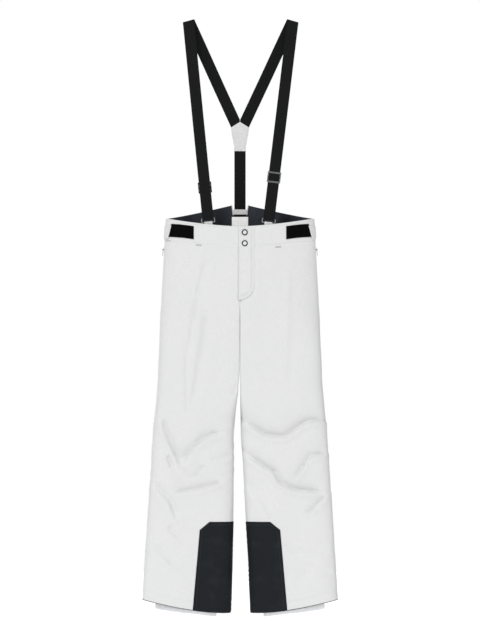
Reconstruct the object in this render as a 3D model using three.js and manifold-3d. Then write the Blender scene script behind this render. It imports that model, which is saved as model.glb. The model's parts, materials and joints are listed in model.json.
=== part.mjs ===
// Ski trousers with elastic braces, hanging from the folds of their braces.
// Millimetres, +Z up, the front faces -Y and the wearer's left is +X. The origin is midway between the
// two brace folds, on the line of the rail or hanger that they hang on.
import * as THREE from "three";
import Module from "manifold-3d";
import { mergeVertices } from "three/addons/utils/BufferGeometryUtils.js";

const wasm = await Module();
wasm.setup();

// ---------- Driving dimensions ----------
const WAIST_DROP = 535; // from the hanging line down to the waistband's top at the side seams
const OUTSEAM = 1045; // waistband's top down to the hem, along the side
const RISE = 279; // waistband's top at the side down to the crotch
const KNEE_DROP = 371; // crotch to knee
const FRONT_DIP = 22; // the front waist's centre is this far below its sides
const BACK_PEAK = 37; // and the back waist's centre this far above them
const HEM_DIP = 37; // the hem's inner end is this far below its outer end

const WAIST_HALF = 204; // half widths from the centre line to the side seam
const HIP_HALF = 219;
const THIGH_HALF = 226;
const KNEE_HALF = 244;
const HEM_HALF = 269;
const KNEE_GAP = 11; // from the centre line to the leg's inner edge
const HEM_GAP = 30;

const WAIST_FRONT = 48; // depths in front of and behind the side seams
const WAIST_BACK = 54;
const HIP_FRONT = 58;
const HIP_BACK = 66;
const KNEE_DEPTH = 50;
const HEM_DEPTH = 43;
const SECTION_POWER = 2.4; // 2 is an ellipse, and more is squarer

const WALL = 2.5; // shell and insulation together
const BAND_WALL = 3; // the waistband's doubled shell
const SEAM_GAP = 0.4; // between pieces that are sewn together
const LINING = 1;
const CLEAR = 0.4; // between layers that lie on each other
const CROTCH_CURVE = 60; // height over which the two legs become one trunk

const BAND_HEIGHT = 65;
const BAND_DIP = 15; // how much of the front's dip the waistband's lower seam follows
const NOTCH_TOP = 23; // half widths and depth of the notch in the back waistband
const NOTCH_FOOT = 18;
const NOTCH_DEPTH = 28;
const LINING_DEPTH = 120; // the lining that shows inside the waist

const HIP_AXIS_DROP = 45; // least distance from the crotch down to the line the legs swing about
const HIP_RADIUS = 85; // the leg's round head, out at the side
const HIP_RADIUS_RUN = 30; // distance from the centre line over which it grows to that
const KNEE_RADIUS = 100;
const HEAD_GAP = 3.5; // between a leg's round head and its socket

const STRAP_WIDTH = 30;
const STRAP = 1.5;
const PLY = 1.3; // webbing sewn round the hook rings
const HOOK_X = { left: 77, right: 85.5 }; // where each brace hooks on and folds, from the centre line
const FOLD_X = { left: 142.5, right: 139 };
const FOLD_RADIUS = 8;
const STRAP_SPREAD = 330; // lengths over which the front and back runs move apart
const BACK_SPREAD = 200;
const YOKE_TOP = 267; // the yoke, below the hanging line
const YOKE_HEIGHT = 81;
const YOKE_HALF = 25;
const YOKE_SHOULDER = 15.5; // from the yoke's peak down to its widest corners, and to its waist
const YOKE_WAIST = 36;
const YOKE_WALL = 1.2;
const RING = 2.4; // the hook rings' wire
const RING_HEIGHT = 13;
const RING_MARGIN = 4; // a ring reaches this far past the webbing
const ADJUSTER_DROP = { left: 423, right: 451 }; // below the hanging line
const ADJUSTER_HALF = 15; // half the slide's height
const ADJUSTER_BAR = 4.4;
const ADJUSTER_RAIL = 2.6;
const ADJUSTER_WALL = 1.6;
const LENGTHEN = 30; // travel of the trousers on the braces
const SHORTEN = 40;

const FLY_LENGTH = 205;
const FLAP_WIDTH = 43;
const FLAP = 2;
const FLAP_GAP = 2.6;
const FLY_SLOT = 13;
const SNAP_RADIUS = 8.2;
const SNAP_DROP = 16; // from the flap's top to the upper snap
const SNAP_PITCH = 30;
const SNAP_X = 13;
const POCKET_LENGTH = 150;
const POCKET_DROP = 12; // from the waistband down to the pocket
const POCKET_MARGIN = 8.5; // shell left under it
const POCKET_SLOT = 7.6;
const COIL_GAP = 0.6; // between a zip's two halves
const SLIDER_LENGTH = 11;
const PULL_LENGTH = 17;
const SLOT_CLEAR = 0.4; // between a zip and the sides of its slot
const TAB_HEIGHT = 36;
const TAB_DROP = 38.5; // from the waistband's top to the tab's middle line
const PATCH_DROP = 15; // and to the patch's top
const PATCH_SHARE = 0.62; // the patch's inner end, as a share of the way to the side seam
const TAB = 2;
const TAB_ROOT = 150; // where the pull tab is sewn to the back, from the centre line
const PATCH = 1.2;
const GUARD_HEIGHT = 250;
const GUARD_SHARE = 0.42; // of the hem's width
const GUARD_CHAMFER = 22;
const GAITER_WALL = 1.2;
const GAITER_HEIGHT = 100; // above the hem's outer end
const GAITER_DROP = 27; // below it, at the outer edge
const GAITER_DIP = 22; // and how much lower its inner edge is
const KEEPER_HEIGHT = 14;
const LABEL_WIDTH = 45;
const LABEL_HEIGHT = 28;

// ---------- Levels worked out from them ----------
const SIDE_TOP = -WAIST_DROP;
const CROTCH = SIDE_TOP - RISE;
const KNEE = CROTCH - KNEE_DROP;
const HEM_SIDE = SIDE_TOP - OUTSEAM;
const HEM_INNER = HEM_SIDE - HEM_DIP;
const BAND_FOOT = SIDE_TOP - BAND_HEIGHT;
const FRONT_TOP = SIDE_TOP - FRONT_DIP;
const FLY_FOOT = FRONT_TOP - FLY_LENGTH;
const FLY_ZIP_FOOT = 5; // the zip's foot above the fly's
const FLY_ZIP_TOP = BAND_FOOT - BAND_DIP - FLY_FOOT - 1; // and its top
const POCKET_FOOT = BAND_FOOT - POCKET_DROP - POCKET_LENGTH;
const HIP_AXIS = Math.min(CROTCH - HIP_AXIS_DROP, POCKET_FOOT - POCKET_MARGIN - HEAD_GAP - HIP_RADIUS);

const FLY_LEAN = Math.atan2(HIP_FRONT - WAIST_FRONT, RISE);
const SEAM_LEAN = Math.atan2(HIP_HALF - WAIST_HALF, RISE);
const CUFF_FLARE = (HEM_HALF - KNEE_HALF) / (KNEE - HEM_SIDE) * HEM_DIP; // kept up to the hem's low end

const OUTER_EDGE = [[SIDE_TOP, WAIST_HALF], [CROTCH, HIP_HALF], [CROTCH - 0.45 * KNEE_DROP, THIGH_HALF],
  [KNEE, KNEE_HALF], [HEM_INNER, HEM_HALF + CUFF_FLARE]];
const INNER_EDGE = [[CROTCH - 85, SEAM_GAP / 2], [KNEE, KNEE_GAP], [HEM_INNER, HEM_GAP]];
const LEG_DEPTH = [[KNEE, KNEE_DEPTH], [HEM_INNER, HEM_DEPTH]];
const FRONT_DEPTH = [[SIDE_TOP, WAIST_FRONT], [CROTCH, HIP_FRONT], ...LEG_DEPTH];
const BACK_DEPTH = [[SIDE_TOP, WAIST_BACK], [CROTCH + 40, HIP_BACK], ...LEG_DEPTH];

const material = {
  shell: new THREE.MeshStandardMaterial({ color: 0xe4e4e4, roughness: 0.85 }),
  lining: new THREE.MeshStandardMaterial({ color: 0x2b303b, roughness: 0.8 }),
  guard: new THREE.MeshStandardMaterial({ color: 0x1b2126, roughness: 0.7 }),
  webbing: new THREE.MeshStandardMaterial({ color: 0x15171a, roughness: 0.9 }),
  velcro: new THREE.MeshStandardMaterial({ color: 0x060607, roughness: 1 }),
  metal: new THREE.MeshStandardMaterial({ color: 0x85888c, roughness: 0.35, metalness: 1 }),
  snap: new THREE.MeshStandardMaterial({ color: 0x55585c, roughness: 0.35, metalness: 1 }),
  gaiter: new THREE.MeshStandardMaterial({ color: 0xd9dadd, roughness: 0.85 }),
  label: new THREE.MeshStandardMaterial({ color: 0xefefec, roughness: 0.8 }),
  zip: new THREE.MeshStandardMaterial({ color: 0xd8d8d8, roughness: 0.6 }),
};

const trousers = new THREE.Group();

function add(name, look, geometry, parent = trousers) {
  const mesh = new THREE.Mesh(geometry, material[look]);
  mesh.name = name;
  parent.add(mesh);
  return mesh;
}

// ---------- Solids ----------

// The value at a height, along straight lines between [height, value] stations that go down.
function along(stations, z) {
  const next = stations.findIndex(([height]) => height < z);
  if (next === 0) return stations[0][1];
  if (next < 0) return stations.at(-1)[1];
  const [z0, a] = stations[next - 1];
  const [z1, b] = stations[next];
  return THREE.MathUtils.mapLinear(z, z0, z1, a, b);
}

function toManifold(geometry) {
  const plain = (geometry.index ? geometry.toNonIndexed() : geometry.clone());
  plain.deleteAttribute("normal");
  plain.deleteAttribute("uv");
  const merged = mergeVertices(plain, 1e-3);
  return new wasm.Manifold(new wasm.Mesh({
    numProp: 3,
    vertProperties: merged.attributes.position.array,
    triVerts: new Uint32Array(merged.index.array),
  }));
}

function toGeometry(manifold) {
  const mesh = manifold.getMesh();
  return new THREE.BufferGeometry()
    .setAttribute("position", new THREE.BufferAttribute(mesh.vertProperties, 3))
    .setIndex(new THREE.BufferAttribute(mesh.triVerts, 1));
}

const join = (...parts) => toGeometry(parts.map(toManifold).reduce((a, b) => a.add(b)));
const cut = (body, ...tools) =>
  toGeometry(tools.map(toManifold).reduce((a, b) => a.subtract(b), toManifold(body)));

function block(x0, x1, y0, y1, z0, z1) {
  return new THREE.BoxGeometry(x1 - x0, y1 - y0, z1 - z0)
    .translate((x0 + x1) / 2, (y0 + y1) / 2, (z0 + z1) / 2);
}

function prism(points, length) {
  return new THREE.ExtrudeGeometry(new THREE.Shape(points.map(([x, y]) => new THREE.Vector2(x, y))),
    { depth: length, bevelEnabled: false });
}

// A closed solid from a surface: surface(u, v) is a point on the outside, and the wall goes inwards along
// the normal, towards middle(point). A closed sheet joins u = 1 to u = 0, as a tube does.
function sheet(surface, across, down, wall, middle, closed = false) {
  const step = 1e-3;
  const columns = closed ? across : across + 1;
  const outside = [];
  const inside = [];
  for (let j = 0; j <= down; j++) {
    for (let i = 0; i < columns; i++) {
      const [u, v] = [i / across, j / down];
      const point = surface(u, v);
      const [u0, u1] = closed ? [u - step, u + step] : [Math.max(0, u - step), Math.min(1, u + step)];
      const alongU = surface(u1, v).sub(surface(u0, v));
      const alongV = surface(u, Math.min(1, v + step)).sub(surface(u, Math.max(0, v - step)));
      const normal = alongU.cross(alongV).normalize();
      if (normal.dot(point.clone().sub(middle(point))) < 0) normal.negate();
      outside.push(point);
      inside.push(point.clone().addScaledVector(normal, -wall));
    }
  }
  const points = [...outside, ...inside];
  const faces = [];
  const count = outside.length;
  const at = (i, j) => j * columns + (i % columns);
  const quad = (a, b, c, d) => faces.push(a, b, c, a, c, d);
  for (let j = 0; j < down; j++) {
    for (let i = 0; i < across; i++) {
      quad(at(i, j), at(i + 1, j), at(i + 1, j + 1), at(i, j + 1));
      quad(count + at(i, j), count + at(i, j + 1), count + at(i + 1, j + 1), count + at(i + 1, j));
    }
  }
  for (let i = 0; i < across; i++) {
    quad(at(i, 0), count + at(i, 0), count + at(i + 1, 0), at(i + 1, 0));
    quad(at(i, down), at(i + 1, down), count + at(i + 1, down), count + at(i, down));
  }
  for (let j = 0; j < down && !closed; j++) {
    quad(at(0, j), at(0, j + 1), count + at(0, j + 1), count + at(0, j));
    quad(at(across, j), count + at(across, j), count + at(across, j + 1), at(across, j + 1));
  }
  let volume = 0;
  for (let f = 0; f < faces.length; f += 3) {
    const [a, b, c] = [points[faces[f]], points[faces[f + 1]], points[faces[f + 2]]];
    volume += a.dot(b.clone().cross(c));
  }
  if (volume < 0) faces.reverse();
  return new THREE.BufferGeometry()
    .setAttribute("position", new THREE.Float32BufferAttribute(points.flatMap((p) => p.toArray()), 3))
    .setIndex(faces);
}

// ---------- The shape of the trousers ----------

const power = (value) => Math.sign(value) * Math.abs(value) ** (2 / SECTION_POWER);

// How far a height is from leg (0) to trunk (1): a quarter circle, so that the crotch is a round saddle.
function trunkShare(z) {
  const t = THREE.MathUtils.clamp((z - CROTCH) / CROTCH_CURVE, 0, 1);
  return Math.sqrt(1 - (1 - t) ** 2);
}

// A point of the shell's outside. side is 1 for the wearer's left, face -1 for the front and 1 for the back,
// and u goes from the side seam (0) to the centre seam or the inseam (1).
function shell(side, face, u, z, gap = SEAM_GAP / 2) {
  const out = along(OUTER_EDGE, z);
  const inner = along(INNER_EDGE, z);
  const depth = along(face < 0 ? FRONT_DEPTH : BACK_DEPTH, z);
  const share = trunkShare(z);
  const leg = Math.PI * u;
  const trunk = leg / 2;
  const across = THREE.MathUtils.lerp((1 + power(Math.cos(leg))) / 2, power(Math.cos(trunk)), share);
  const deep = THREE.MathUtils.lerp(power(Math.sin(leg)), power(Math.sin(trunk)), share);
  return new THREE.Vector3(side * (inner + (out - inner) * across), face * (gap + depth * deep), z);
}

const shellMiddle = (side) => (p) => new THREE.Vector3(side * along(OUTER_EDGE, p.z) / 2, 0, p.z);

// The shell's outside moved out by distance, or in where it is negative, at a point all round the body:
// turn goes from the front's centre (-1) over the side seam (0) to the back's centre (1).
function around(side, turn, z, distance) {
  const step = 1e-3;
  const at = (t, height) => shell(side, Math.sign(t) || 1, Math.min(1, Math.abs(t)), height, 0);
  const point = at(turn, z);
  const alongTurn = at(turn + step, z).sub(at(turn - step, z));
  const alongZ = at(turn, z + 1).sub(at(turn, z - 1));
  const normal = alongTurn.cross(alongZ).normalize();
  if (normal.dot(point.clone().sub(shellMiddle(side)(point))) < 0) normal.negate();
  return point.addScaledVector(normal, distance);
}

const NEARLY_ONE = 1 - 1e-4; // short of the centre line, where two normals meet

// u at a distance x from the centre line, above the crotch and on a leg.
function trunkTurn(x, z) {
  return Math.acos(Math.min(1, x / along(OUTER_EDGE, z)) ** (SECTION_POWER / 2)) * 2 / Math.PI;
}

function legTurn(x, z) {
  const share = 2 * (x - along(INNER_EDGE, z)) / (along(OUTER_EDGE, z) - along(INNER_EDGE, z)) - 1;
  const bounded = THREE.MathUtils.clamp(share, -1, 1);
  return Math.acos(Math.sign(bounded) * Math.abs(bounded) ** (SECTION_POWER / 2)) / Math.PI;
}

// A smooth dip: 1 at the centre line and 0 at the side seam.
const towardsCentre = (x) => 0.5 + 0.5 * Math.cos(Math.PI * Math.min(1, Math.abs(x) / WAIST_HALF));

function bandTop(face, x) {
  const peak = BACK_PEAK * (1 - Math.min(1, Math.abs(x) / WAIST_HALF));
  return face < 0 ? SIDE_TOP - FRONT_DIP * towardsCentre(x) : SIDE_TOP + peak;
}

const bandFoot = (face, x) => BAND_FOOT - (face < 0 ? BAND_DIP * towardsCentre(x) : 0);

// The height where the shell leaves a round head: the surface at distance radius(x) from a line along X.
function headLevel(side, face, u, axis, radius) {
  let [low, high] = [axis, axis + 2 * Math.max(HIP_RADIUS, KNEE_RADIUS)];
  for (let i = 0; i < 40; i++) {
    const z = (low + high) / 2;
    const p = shell(side, face, u, z);
    if (p.y ** 2 + (z - axis) ** 2 < radius(Math.abs(p.x)) ** 2) low = z;
    else high = z;
  }
  return low;
}

const hipRadius = (x) => THREE.MathUtils.lerp(HIP_RADIUS, CROTCH - HIP_AXIS, Math.exp(-x / HIP_RADIUS_RUN));
const hipSocket = (x) => hipRadius(x) + HEAD_GAP;
const kneeRadius = () => KNEE_RADIUS;
const kneeSocket = () => KNEE_RADIUS + HEAD_GAP;

// Distance across a leg, from its outer edge (0) to its inner edge (1), and the hem's level there.
const legShare = (u) => (1 - power(Math.cos(Math.PI * u))) / 2;
const hem = (u) => HEM_SIDE - HEM_DIP * Math.sin(Math.PI / 2 * legShare(u));

// A shell panel between two level lines, given as heights for each u.
function panel(side, face, foot, top, across, down, wall = WALL) {
  return sheet((u, v) => shell(side, face, u, THREE.MathUtils.lerp(foot(u), top(u), v)),
    across, down, wall, shellMiddle(side));
}

const flySlot = block(-FLY_SLOT / 2, FLY_SLOT / 2, -2 * HIP_FRONT, 0, FLY_FOOT + FLY_ZIP_FOOT - 1,
  FLY_FOOT + FLY_ZIP_TOP + 5);

function pocketSlot(side) {
  const [x0, x1] = side > 0 ? [WAIST_HALF / 2, 2 * HIP_HALF] : [-2 * HIP_HALF, -WAIST_HALF / 2];
  return block(x0, x1, -POCKET_SLOT / 2, POCKET_SLOT / 2, POCKET_FOOT, POCKET_FOOT + POCKET_LENGTH);
}

// The notch's outline is drawn to twice its depth, so that it clears the waistband's top.
const NOTCH_LEVEL = SIDE_TOP + BACK_PEAK - NOTCH_DEPTH;
const NOTCH_OVER = 2 * NOTCH_TOP - NOTCH_FOOT;
const notch = prism([[-NOTCH_FOOT, 0], [NOTCH_FOOT, 0], [NOTCH_OVER, 2 * NOTCH_DEPTH],
  [-NOTCH_OVER, 2 * NOTCH_DEPTH]], 2 * HIP_BACK).rotateX(Math.PI / 2).translate(0, 2 * HIP_BACK, NOTCH_LEVEL);

function waistband(side, name) {
  for (const [face, word] of [[-1, "front"], [1, "back"]]) {
    const x = (u) => WAIST_HALF * power(Math.cos(Math.PI / 2 * u));
    const band = panel(side, face, (u) => bandFoot(face, x(u)) + SEAM_GAP, (u) => bandTop(face, x(u)),
      12, 1, BAND_WALL);
    add(`waistband_${word}_${name}`, "shell", face < 0 ? band : cut(band, notch));
    const body = panel(side, face, (u) => headLevel(side, face, u, HIP_AXIS, hipSocket),
      (u) => bandFoot(face, x(u)), 14, 5);
    const tools = face < 0 ? [pocketSlot(side), flySlot] : [pocketSlot(side)];
    add(`body_${word}_${name}`, "shell", cut(body, ...tools));
  }
}

function leg(side, name) {
  for (const [face, word] of [[-1, "front"], [1, "back"]]) {
    add(`thigh_${word}_${name}`, "shell", panel(side, face,
      (u) => headLevel(side, face, u, KNEE, kneeSocket),
      (u) => headLevel(side, face, u, HIP_AXIS, hipRadius), 12, 4));
    add(`shin_${word}_${name}`, "shell",
      panel(side, face, hem, (u) => headLevel(side, face, u, KNEE, kneeRadius), 12, 5));
  }
}

// The black scuff guard over the inner half of a cuff, from the front round the inseam to the back.
function cuffGuard(side, name) {
  const top = HEM_INNER + GUARD_HEIGHT;
  const foot = HEM_GAP + GUARD_SHARE * (HEM_HALF - HEM_GAP);
  const edge = (z) => THREE.MathUtils.mapLinear(z, HEM_INNER, top, foot, foot - GUARD_CHAMFER);
  const chamferStart = 0.85; // share of the way from the inseam to the guard's edge
  const surface = (s, v) => {
    const face = s < 0.5 ? -1 : 1;
    const spread = Math.abs(2 * s - 1);
    const inset = Math.max(0, spread - chamferStart) / (1 - chamferStart);
    const low = hem(THREE.MathUtils.lerp(1, legTurn(edge(top), top), spread)) + 1;
    const z = THREE.MathUtils.lerp(low, top - GUARD_CHAMFER * inset, v);
    const u = THREE.MathUtils.lerp(1, legTurn(edge(z), z), spread);
    return around(side, face * Math.min(u, NEARLY_ONE), z, 2 * CLEAR + PATCH);
  };
  const middle = (p) => new THREE.Vector3(side * (HEM_HALF + HEM_GAP) / 2, 0, p.z);
  add(`cuff_guard_${name}`, "guard", sheet(surface, 20, 3, PATCH, middle));
}

// The inner snow gaiter: a slack tube inside the cuff, wider where it is sewn in.
function gaiter(side, name) {
  const centre = (HEM_HALF + HEM_GAP) / 2 - 1;
  const half = (HEM_HALF - HEM_GAP) / 2;
  const surface = (u, v) => {
    const angle = 2 * Math.PI * u;
    const cuff = HEM_SIDE - GAITER_DROP - GAITER_DIP * (0.5 - 0.5 * Math.cos(angle));
    const z = THREE.MathUtils.lerp(cuff, HEM_SIDE + GAITER_HEIGHT, v);
    const wide = THREE.MathUtils.lerp(0.7, 0.84, THREE.MathUtils.smoothstep(v, 0.35, 1)) * half;
    const deep = (HEM_DEPTH - WALL) * THREE.MathUtils.lerp(0.8, 0.9, v);
    const x = centre + wide * power(Math.cos(angle));
    return new THREE.Vector3(side * x, deep * power(Math.sin(angle)), z);
  };
  add(`gaiter_${name}`, "gaiter",
    sheet(surface, 20, 2, GAITER_WALL, (p) => new THREE.Vector3(side * centre, 0, p.z), true));
}

// ---------- Lining, label and keeper inside the back of the waist ----------
const liningOut = -(BAND_WALL + CLEAR);
const liningIn = liningOut - LINING;
const LINING_END = 0.015; // u where the linings stop short of the side seam

function liningPoint(side, face, u, v) {
  const x = WAIST_HALF * power(Math.cos(Math.PI / 2 * u));
  const z = THREE.MathUtils.lerp(SIDE_TOP - LINING_DEPTH, bandTop(face, x) - STRAP, v);
  return around(side, face * Math.min(u, NEARLY_ONE), z, liningOut);
}

function linings() {
  const backSurface = (s, v) =>
    liningPoint(s < 0.5 ? 1 : -1, 1, 1 - Math.abs(2 * s - 1) * (1 - LINING_END), v);
  const middle = (p) => new THREE.Vector3(0, -HIP_BACK, p.z);
  add("lining_back", "lining", cut(sheet(backSurface, 24, 2, LINING, middle), notch));
  for (const [side, name] of [[1, "left"], [-1, "right"]]) {
    const last = trunkTurn(FLAP_WIDTH + 4, SIDE_TOP);
    const surface = (s, v) => liningPoint(side, -1, THREE.MathUtils.lerp(LINING_END, last, s), v);
    add(`lining_front_${name}`, "lining", sheet(surface, 10, 2, LINING, shellMiddle(side)));
  }
}

const backInside = along(BACK_DEPTH, NOTCH_LEVEL) + liningIn; // the lining's inner face at the notch
const BACK_STRAP_Y = backInside - CLEAR - STRAP / 2;
const KEEPER_Y = BACK_STRAP_Y - STRAP / 2 - CLEAR;

// A loop across the strap's end: a plate in front of it, with a foot on each side.
function backFittings() {
  const wall = 1.2;
  const foot = STRAP_WIDTH / 2 + 1;
  const half = foot + 5;
  const [z0, z1] = [NOTCH_LEVEL + 3, NOTCH_LEVEL + 3 + KEEPER_HEIGHT];
  add("back_keeper", "shell", join(
    block(-half, half, KEEPER_Y - wall, KEEPER_Y, z0, z1),
    block(-half, -foot, KEEPER_Y - wall / 2, backInside - CLEAR, z0, z1),
    block(foot, half, KEEPER_Y - wall / 2, backInside - CLEAR, z0, z1),
  ));
  const labelTop = NOTCH_LEVEL - 2;
  add("blank_label", "label", block(-LABEL_WIDTH / 2, LABEL_WIDTH / 2, KEEPER_Y - wall - 2 * CLEAR,
    KEEPER_Y - wall, labelTop - LABEL_HEIGHT, labelTop));
}

// ---------- Waist adjusters: hook-and-loop patch and pull tab ----------
function waistAdjuster(side, name) {
  const slant = 9; // how much further out the foot of the tab's front end is than its top
  const patchEnd = WAIST_HALF - slant;
  const patchSurface = (s, v) => {
    const x = THREE.MathUtils.lerp(PATCH_SHARE * WAIST_HALF, patchEnd, s);
    const z = bandTop(-1, x) - PATCH_DROP - TAB_HEIGHT * (1 - v);
    return around(side, -trunkTurn(x, z), z, 2 * CLEAR + PATCH);
  };
  add(`loop_patch_${name}`, "velcro", sheet(patchSurface, 8, 1, PATCH, shellMiddle(side)));
  const tabSurface = (s, v) => {
    const z = SIDE_TOP - TAB_DROP + TAB_HEIGHT * (v - 0.5);
    const front = -trunkTurn(patchEnd - slant * v + 1, z);
    return around(side, THREE.MathUtils.lerp(front, trunkTurn(TAB_ROOT, z), s), z, 3 * CLEAR + PATCH + TAB);
  };
  add(`waist_tab_${name}`, "shell", sheet(tabSurface, 14, 1, TAB, shellMiddle(side)));
}

// ---------- Braces ----------
const frontInside = (x) => -shell(1, -1, trunkTurn(x, bandTop(-1, x)), bandTop(-1, x)).y + liningIn;
const YOKE_ENTRY = new THREE.Vector2(0.53 * YOKE_HALF, -YOKE_TOP - YOKE_SHOULDER / 2);

// One brace: where it runs, seen from the front, and how deep its lower end lies. Its front run starts a
// little outside the fold's middle, because the crease is not square to the webbing.
function brace(side, name) {
  const hookX = HOOK_X[name];
  const ringZ = bandTop(-1, hookX) + RING_HEIGHT;
  const fold = new THREE.Vector2(FOLD_X[name], 0);
  const frontRun = new THREE.Vector2(hookX, ringZ - 3).sub(fold);
  const backRun = YOKE_ENTRY.clone().sub(fold);
  const [down1, down2] = [frontRun.clone().normalize(), backRun.clone().normalize()];
  const bisector = down1.clone().add(down2).normalize();
  const crease = new THREE.Vector2(-bisector.y, bisector.x);
  if (crease.dot(down2) < 0) crease.negate();
  const lean = Math.acos(bisector.dot(down2));
  const wrap = Math.PI / 2 * FOLD_RADIUS / Math.cos(lean);
  const start = fold.clone().addScaledVector(crease, -wrap * Math.sin(lean));
  const frontY = -(frontInside(hookX + 0.75 * STRAP_WIDTH) - 2 * CLEAR - STRAP / 2);
  return { side, name, ringZ, fold, start, down1, bisector, crease, lean, wrap, frontY,
    length1: frontRun.length(), length2: backRun.length() };
}

// A ribbon folded over a rod: a straight strip, wrapped round a cylinder whose axis is the crease, so that
// its two runs make a V. s runs from the lower front end to the yoke, and t across the width.
function shoulderStrap(b) {
  const { bisector, crease, lean, wrap } = b;
  const quarter = Math.PI / 2 * FOLD_RADIUS;
  const past = 1.15 * wrap; // just past the fold's round part
  const steps = [-(b.length1 + wrap)];
  for (let i = 7; i > 0; i--) steps.push(-wrap - STRAP_SPREAD * i / 7);
  for (let i = -5; i <= 5; i++) steps.push(past * i / 5);
  for (let i = 1; i <= 7; i++) steps.push(past + BACK_SPREAD * i / 7);
  steps.push(b.length2 + wrap + STRAP_WIDTH / 2);
  const surface = (u, t) => {
    const place = u * (steps.length - 1);
    const index = Math.min(steps.length - 2, Math.floor(place));
    const s = THREE.MathUtils.lerp(steps[index], steps[index + 1], place - index);
    const w = (t - 0.5) * STRAP_WIDTH;
    const p = s * Math.sin(lean) + w * Math.cos(lean);
    const q = s * Math.cos(lean) - w * Math.sin(lean);
    const run = Math.max(0, Math.abs(q) - quarter);
    const angle = THREE.MathUtils.clamp(q / quarter, -1, 1) * Math.PI / 2;
    const lift = run - FOLD_RADIUS * Math.cos(angle);
    const depth = (q < 0 ? -b.frontY : BACK_STRAP_Y) + STRAP / 2;
    const spread = q < 0 ? STRAP_SPREAD : BACK_SPREAD;
    const away = (depth - FOLD_RADIUS) * THREE.MathUtils.smoothstep(run, 0, spread);
    const x = b.fold.x + p * crease.x + lift * bisector.x;
    const z = b.fold.y + p * crease.y + lift * bisector.y;
    return new THREE.Vector3(b.side * x, FOLD_RADIUS * Math.sin(angle) + Math.sign(q) * away, z);
  };
  const middle = (p) => new THREE.Vector3(p.x, 0, Math.min(p.z, -1.5 * FOLD_RADIUS));
  const strip = sheet(surface, steps.length - 1, 1, STRAP, middle);
  const [x0, x1] = b.side > 0 ? [-2 * YOKE_HALF, SEAM_GAP / 2] : [-SEAM_GAP / 2, 2 * YOKE_HALF];
  add(`shoulder_strap_${b.name}`, "webbing", cut(strip, block(x0, x1, 0, 2 * HIP_BACK, -2 * YOKE_TOP, 0)));
}

// A frame at a height on the brace's front run, with its Z up the webbing.
function braceFrame(b, z) {
  const frame = new THREE.Group();
  const x = b.start.x + b.down1.x * (z - b.start.y) / b.down1.y;
  frame.position.set(b.side * x, b.frontY, z);
  frame.rotation.y = Math.atan2(-b.down1.x * b.side, -b.down1.y);
  trousers.add(frame);
  return frame;
}

const RING_Y = STRAP / 2 + CLEAR + PLY + CLEAR + RING / 2; // the ring lies this far behind the front run

// A U of webbing round a bar at the origin: its short leg in front, its long leg behind, open upwards.
function webbingLoop(front, back, width) {
  const inner = RING / 2 + CLEAR;
  const outer = inner + PLY;
  const shape = new THREE.Shape();
  shape.moveTo(-outer, front);
  shape.lineTo(-outer, 0);
  shape.absarc(0, 0, outer, Math.PI, 2 * Math.PI, false);
  shape.lineTo(outer, back);
  shape.lineTo(inner, back);
  shape.lineTo(inner, 0);
  shape.absarc(0, 0, inner, 2 * Math.PI, Math.PI, true);
  shape.lineTo(-inner, front);
  shape.closePath();
  // The shape lies in the brace frame's Y and Z, and is extruded along its X.
  return new THREE.ExtrudeGeometry(shape, { depth: width, bevelEnabled: false, curveSegments: 6 })
    .translate(0, 0, -width / 2)
    .applyMatrix4(new THREE.Matrix4().makeBasis(
      new THREE.Vector3(0, 1, 0), new THREE.Vector3(0, 0, 1), new THREE.Vector3(1, 0, 0)));
}

function roundedFrame(half, top, foot, bar, depth) {
  const outline = (shape, inset, radius) => {
    const [x, z0, z1] = [half - inset, foot + inset, top - inset];
    shape.moveTo(-x + radius, z0);
    shape.lineTo(x - radius, z0);
    shape.absarc(x - radius, z0 + radius, radius, -Math.PI / 2, 0, false);
    shape.lineTo(x, z1 - radius);
    shape.absarc(x - radius, z1 - radius, radius, 0, Math.PI / 2, false);
    shape.lineTo(-x + radius, z1);
    shape.absarc(-x + radius, z1 - radius, radius, Math.PI / 2, Math.PI, false);
    shape.lineTo(-x, z0 + radius);
    shape.absarc(-x + radius, z0 + radius, radius, Math.PI, 1.5 * Math.PI, false);
    return shape;
  };
  const shape = outline(new THREE.Shape(), 0, bar);
  shape.holes.push(outline(new THREE.Path(), bar, 0.6));
  return new THREE.ExtrudeGeometry(shape, { depth, bevelEnabled: false, curveSegments: 3 })
    .rotateX(Math.PI / 2).translate(0, depth / 2, 0);
}

function hook(b) {
  const frame = braceFrame(b, b.ringZ);
  const low = -RING_HEIGHT + RING;
  add(`hook_ring_${b.name}`, "metal",
    roundedFrame(STRAP_WIDTH / 2 + RING_MARGIN, RING / 2, low - RING / 2, RING, 0.75 * RING)
      .translate(0, RING_Y, 0), frame);
  const tail = -ADJUSTER_DROP[b.name] - b.ringZ + ADJUSTER_BAR / 2;
  add(`strap_tail_${b.name}`, "webbing",
    webbingLoop(LENGTHEN + 6, tail, STRAP_WIDTH).translate(0, RING_Y, 0), frame);
  const leg = SHORTEN + 15;
  const loop = webbingLoop(leg, leg, 0.7 * STRAP_WIDTH).rotateX(Math.PI).translate(0, RING_Y, low);
  const half = 0.35 * STRAP_WIDTH;
  const sewn = block(-half, half, -STRAP / 2, RING_Y + RING / 2 + CLEAR + PLY, low - leg - 6, low - leg + 1);
  add(`waist_loop_${b.name}`, "shell", join(loop, sewn), frame);
}

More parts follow.
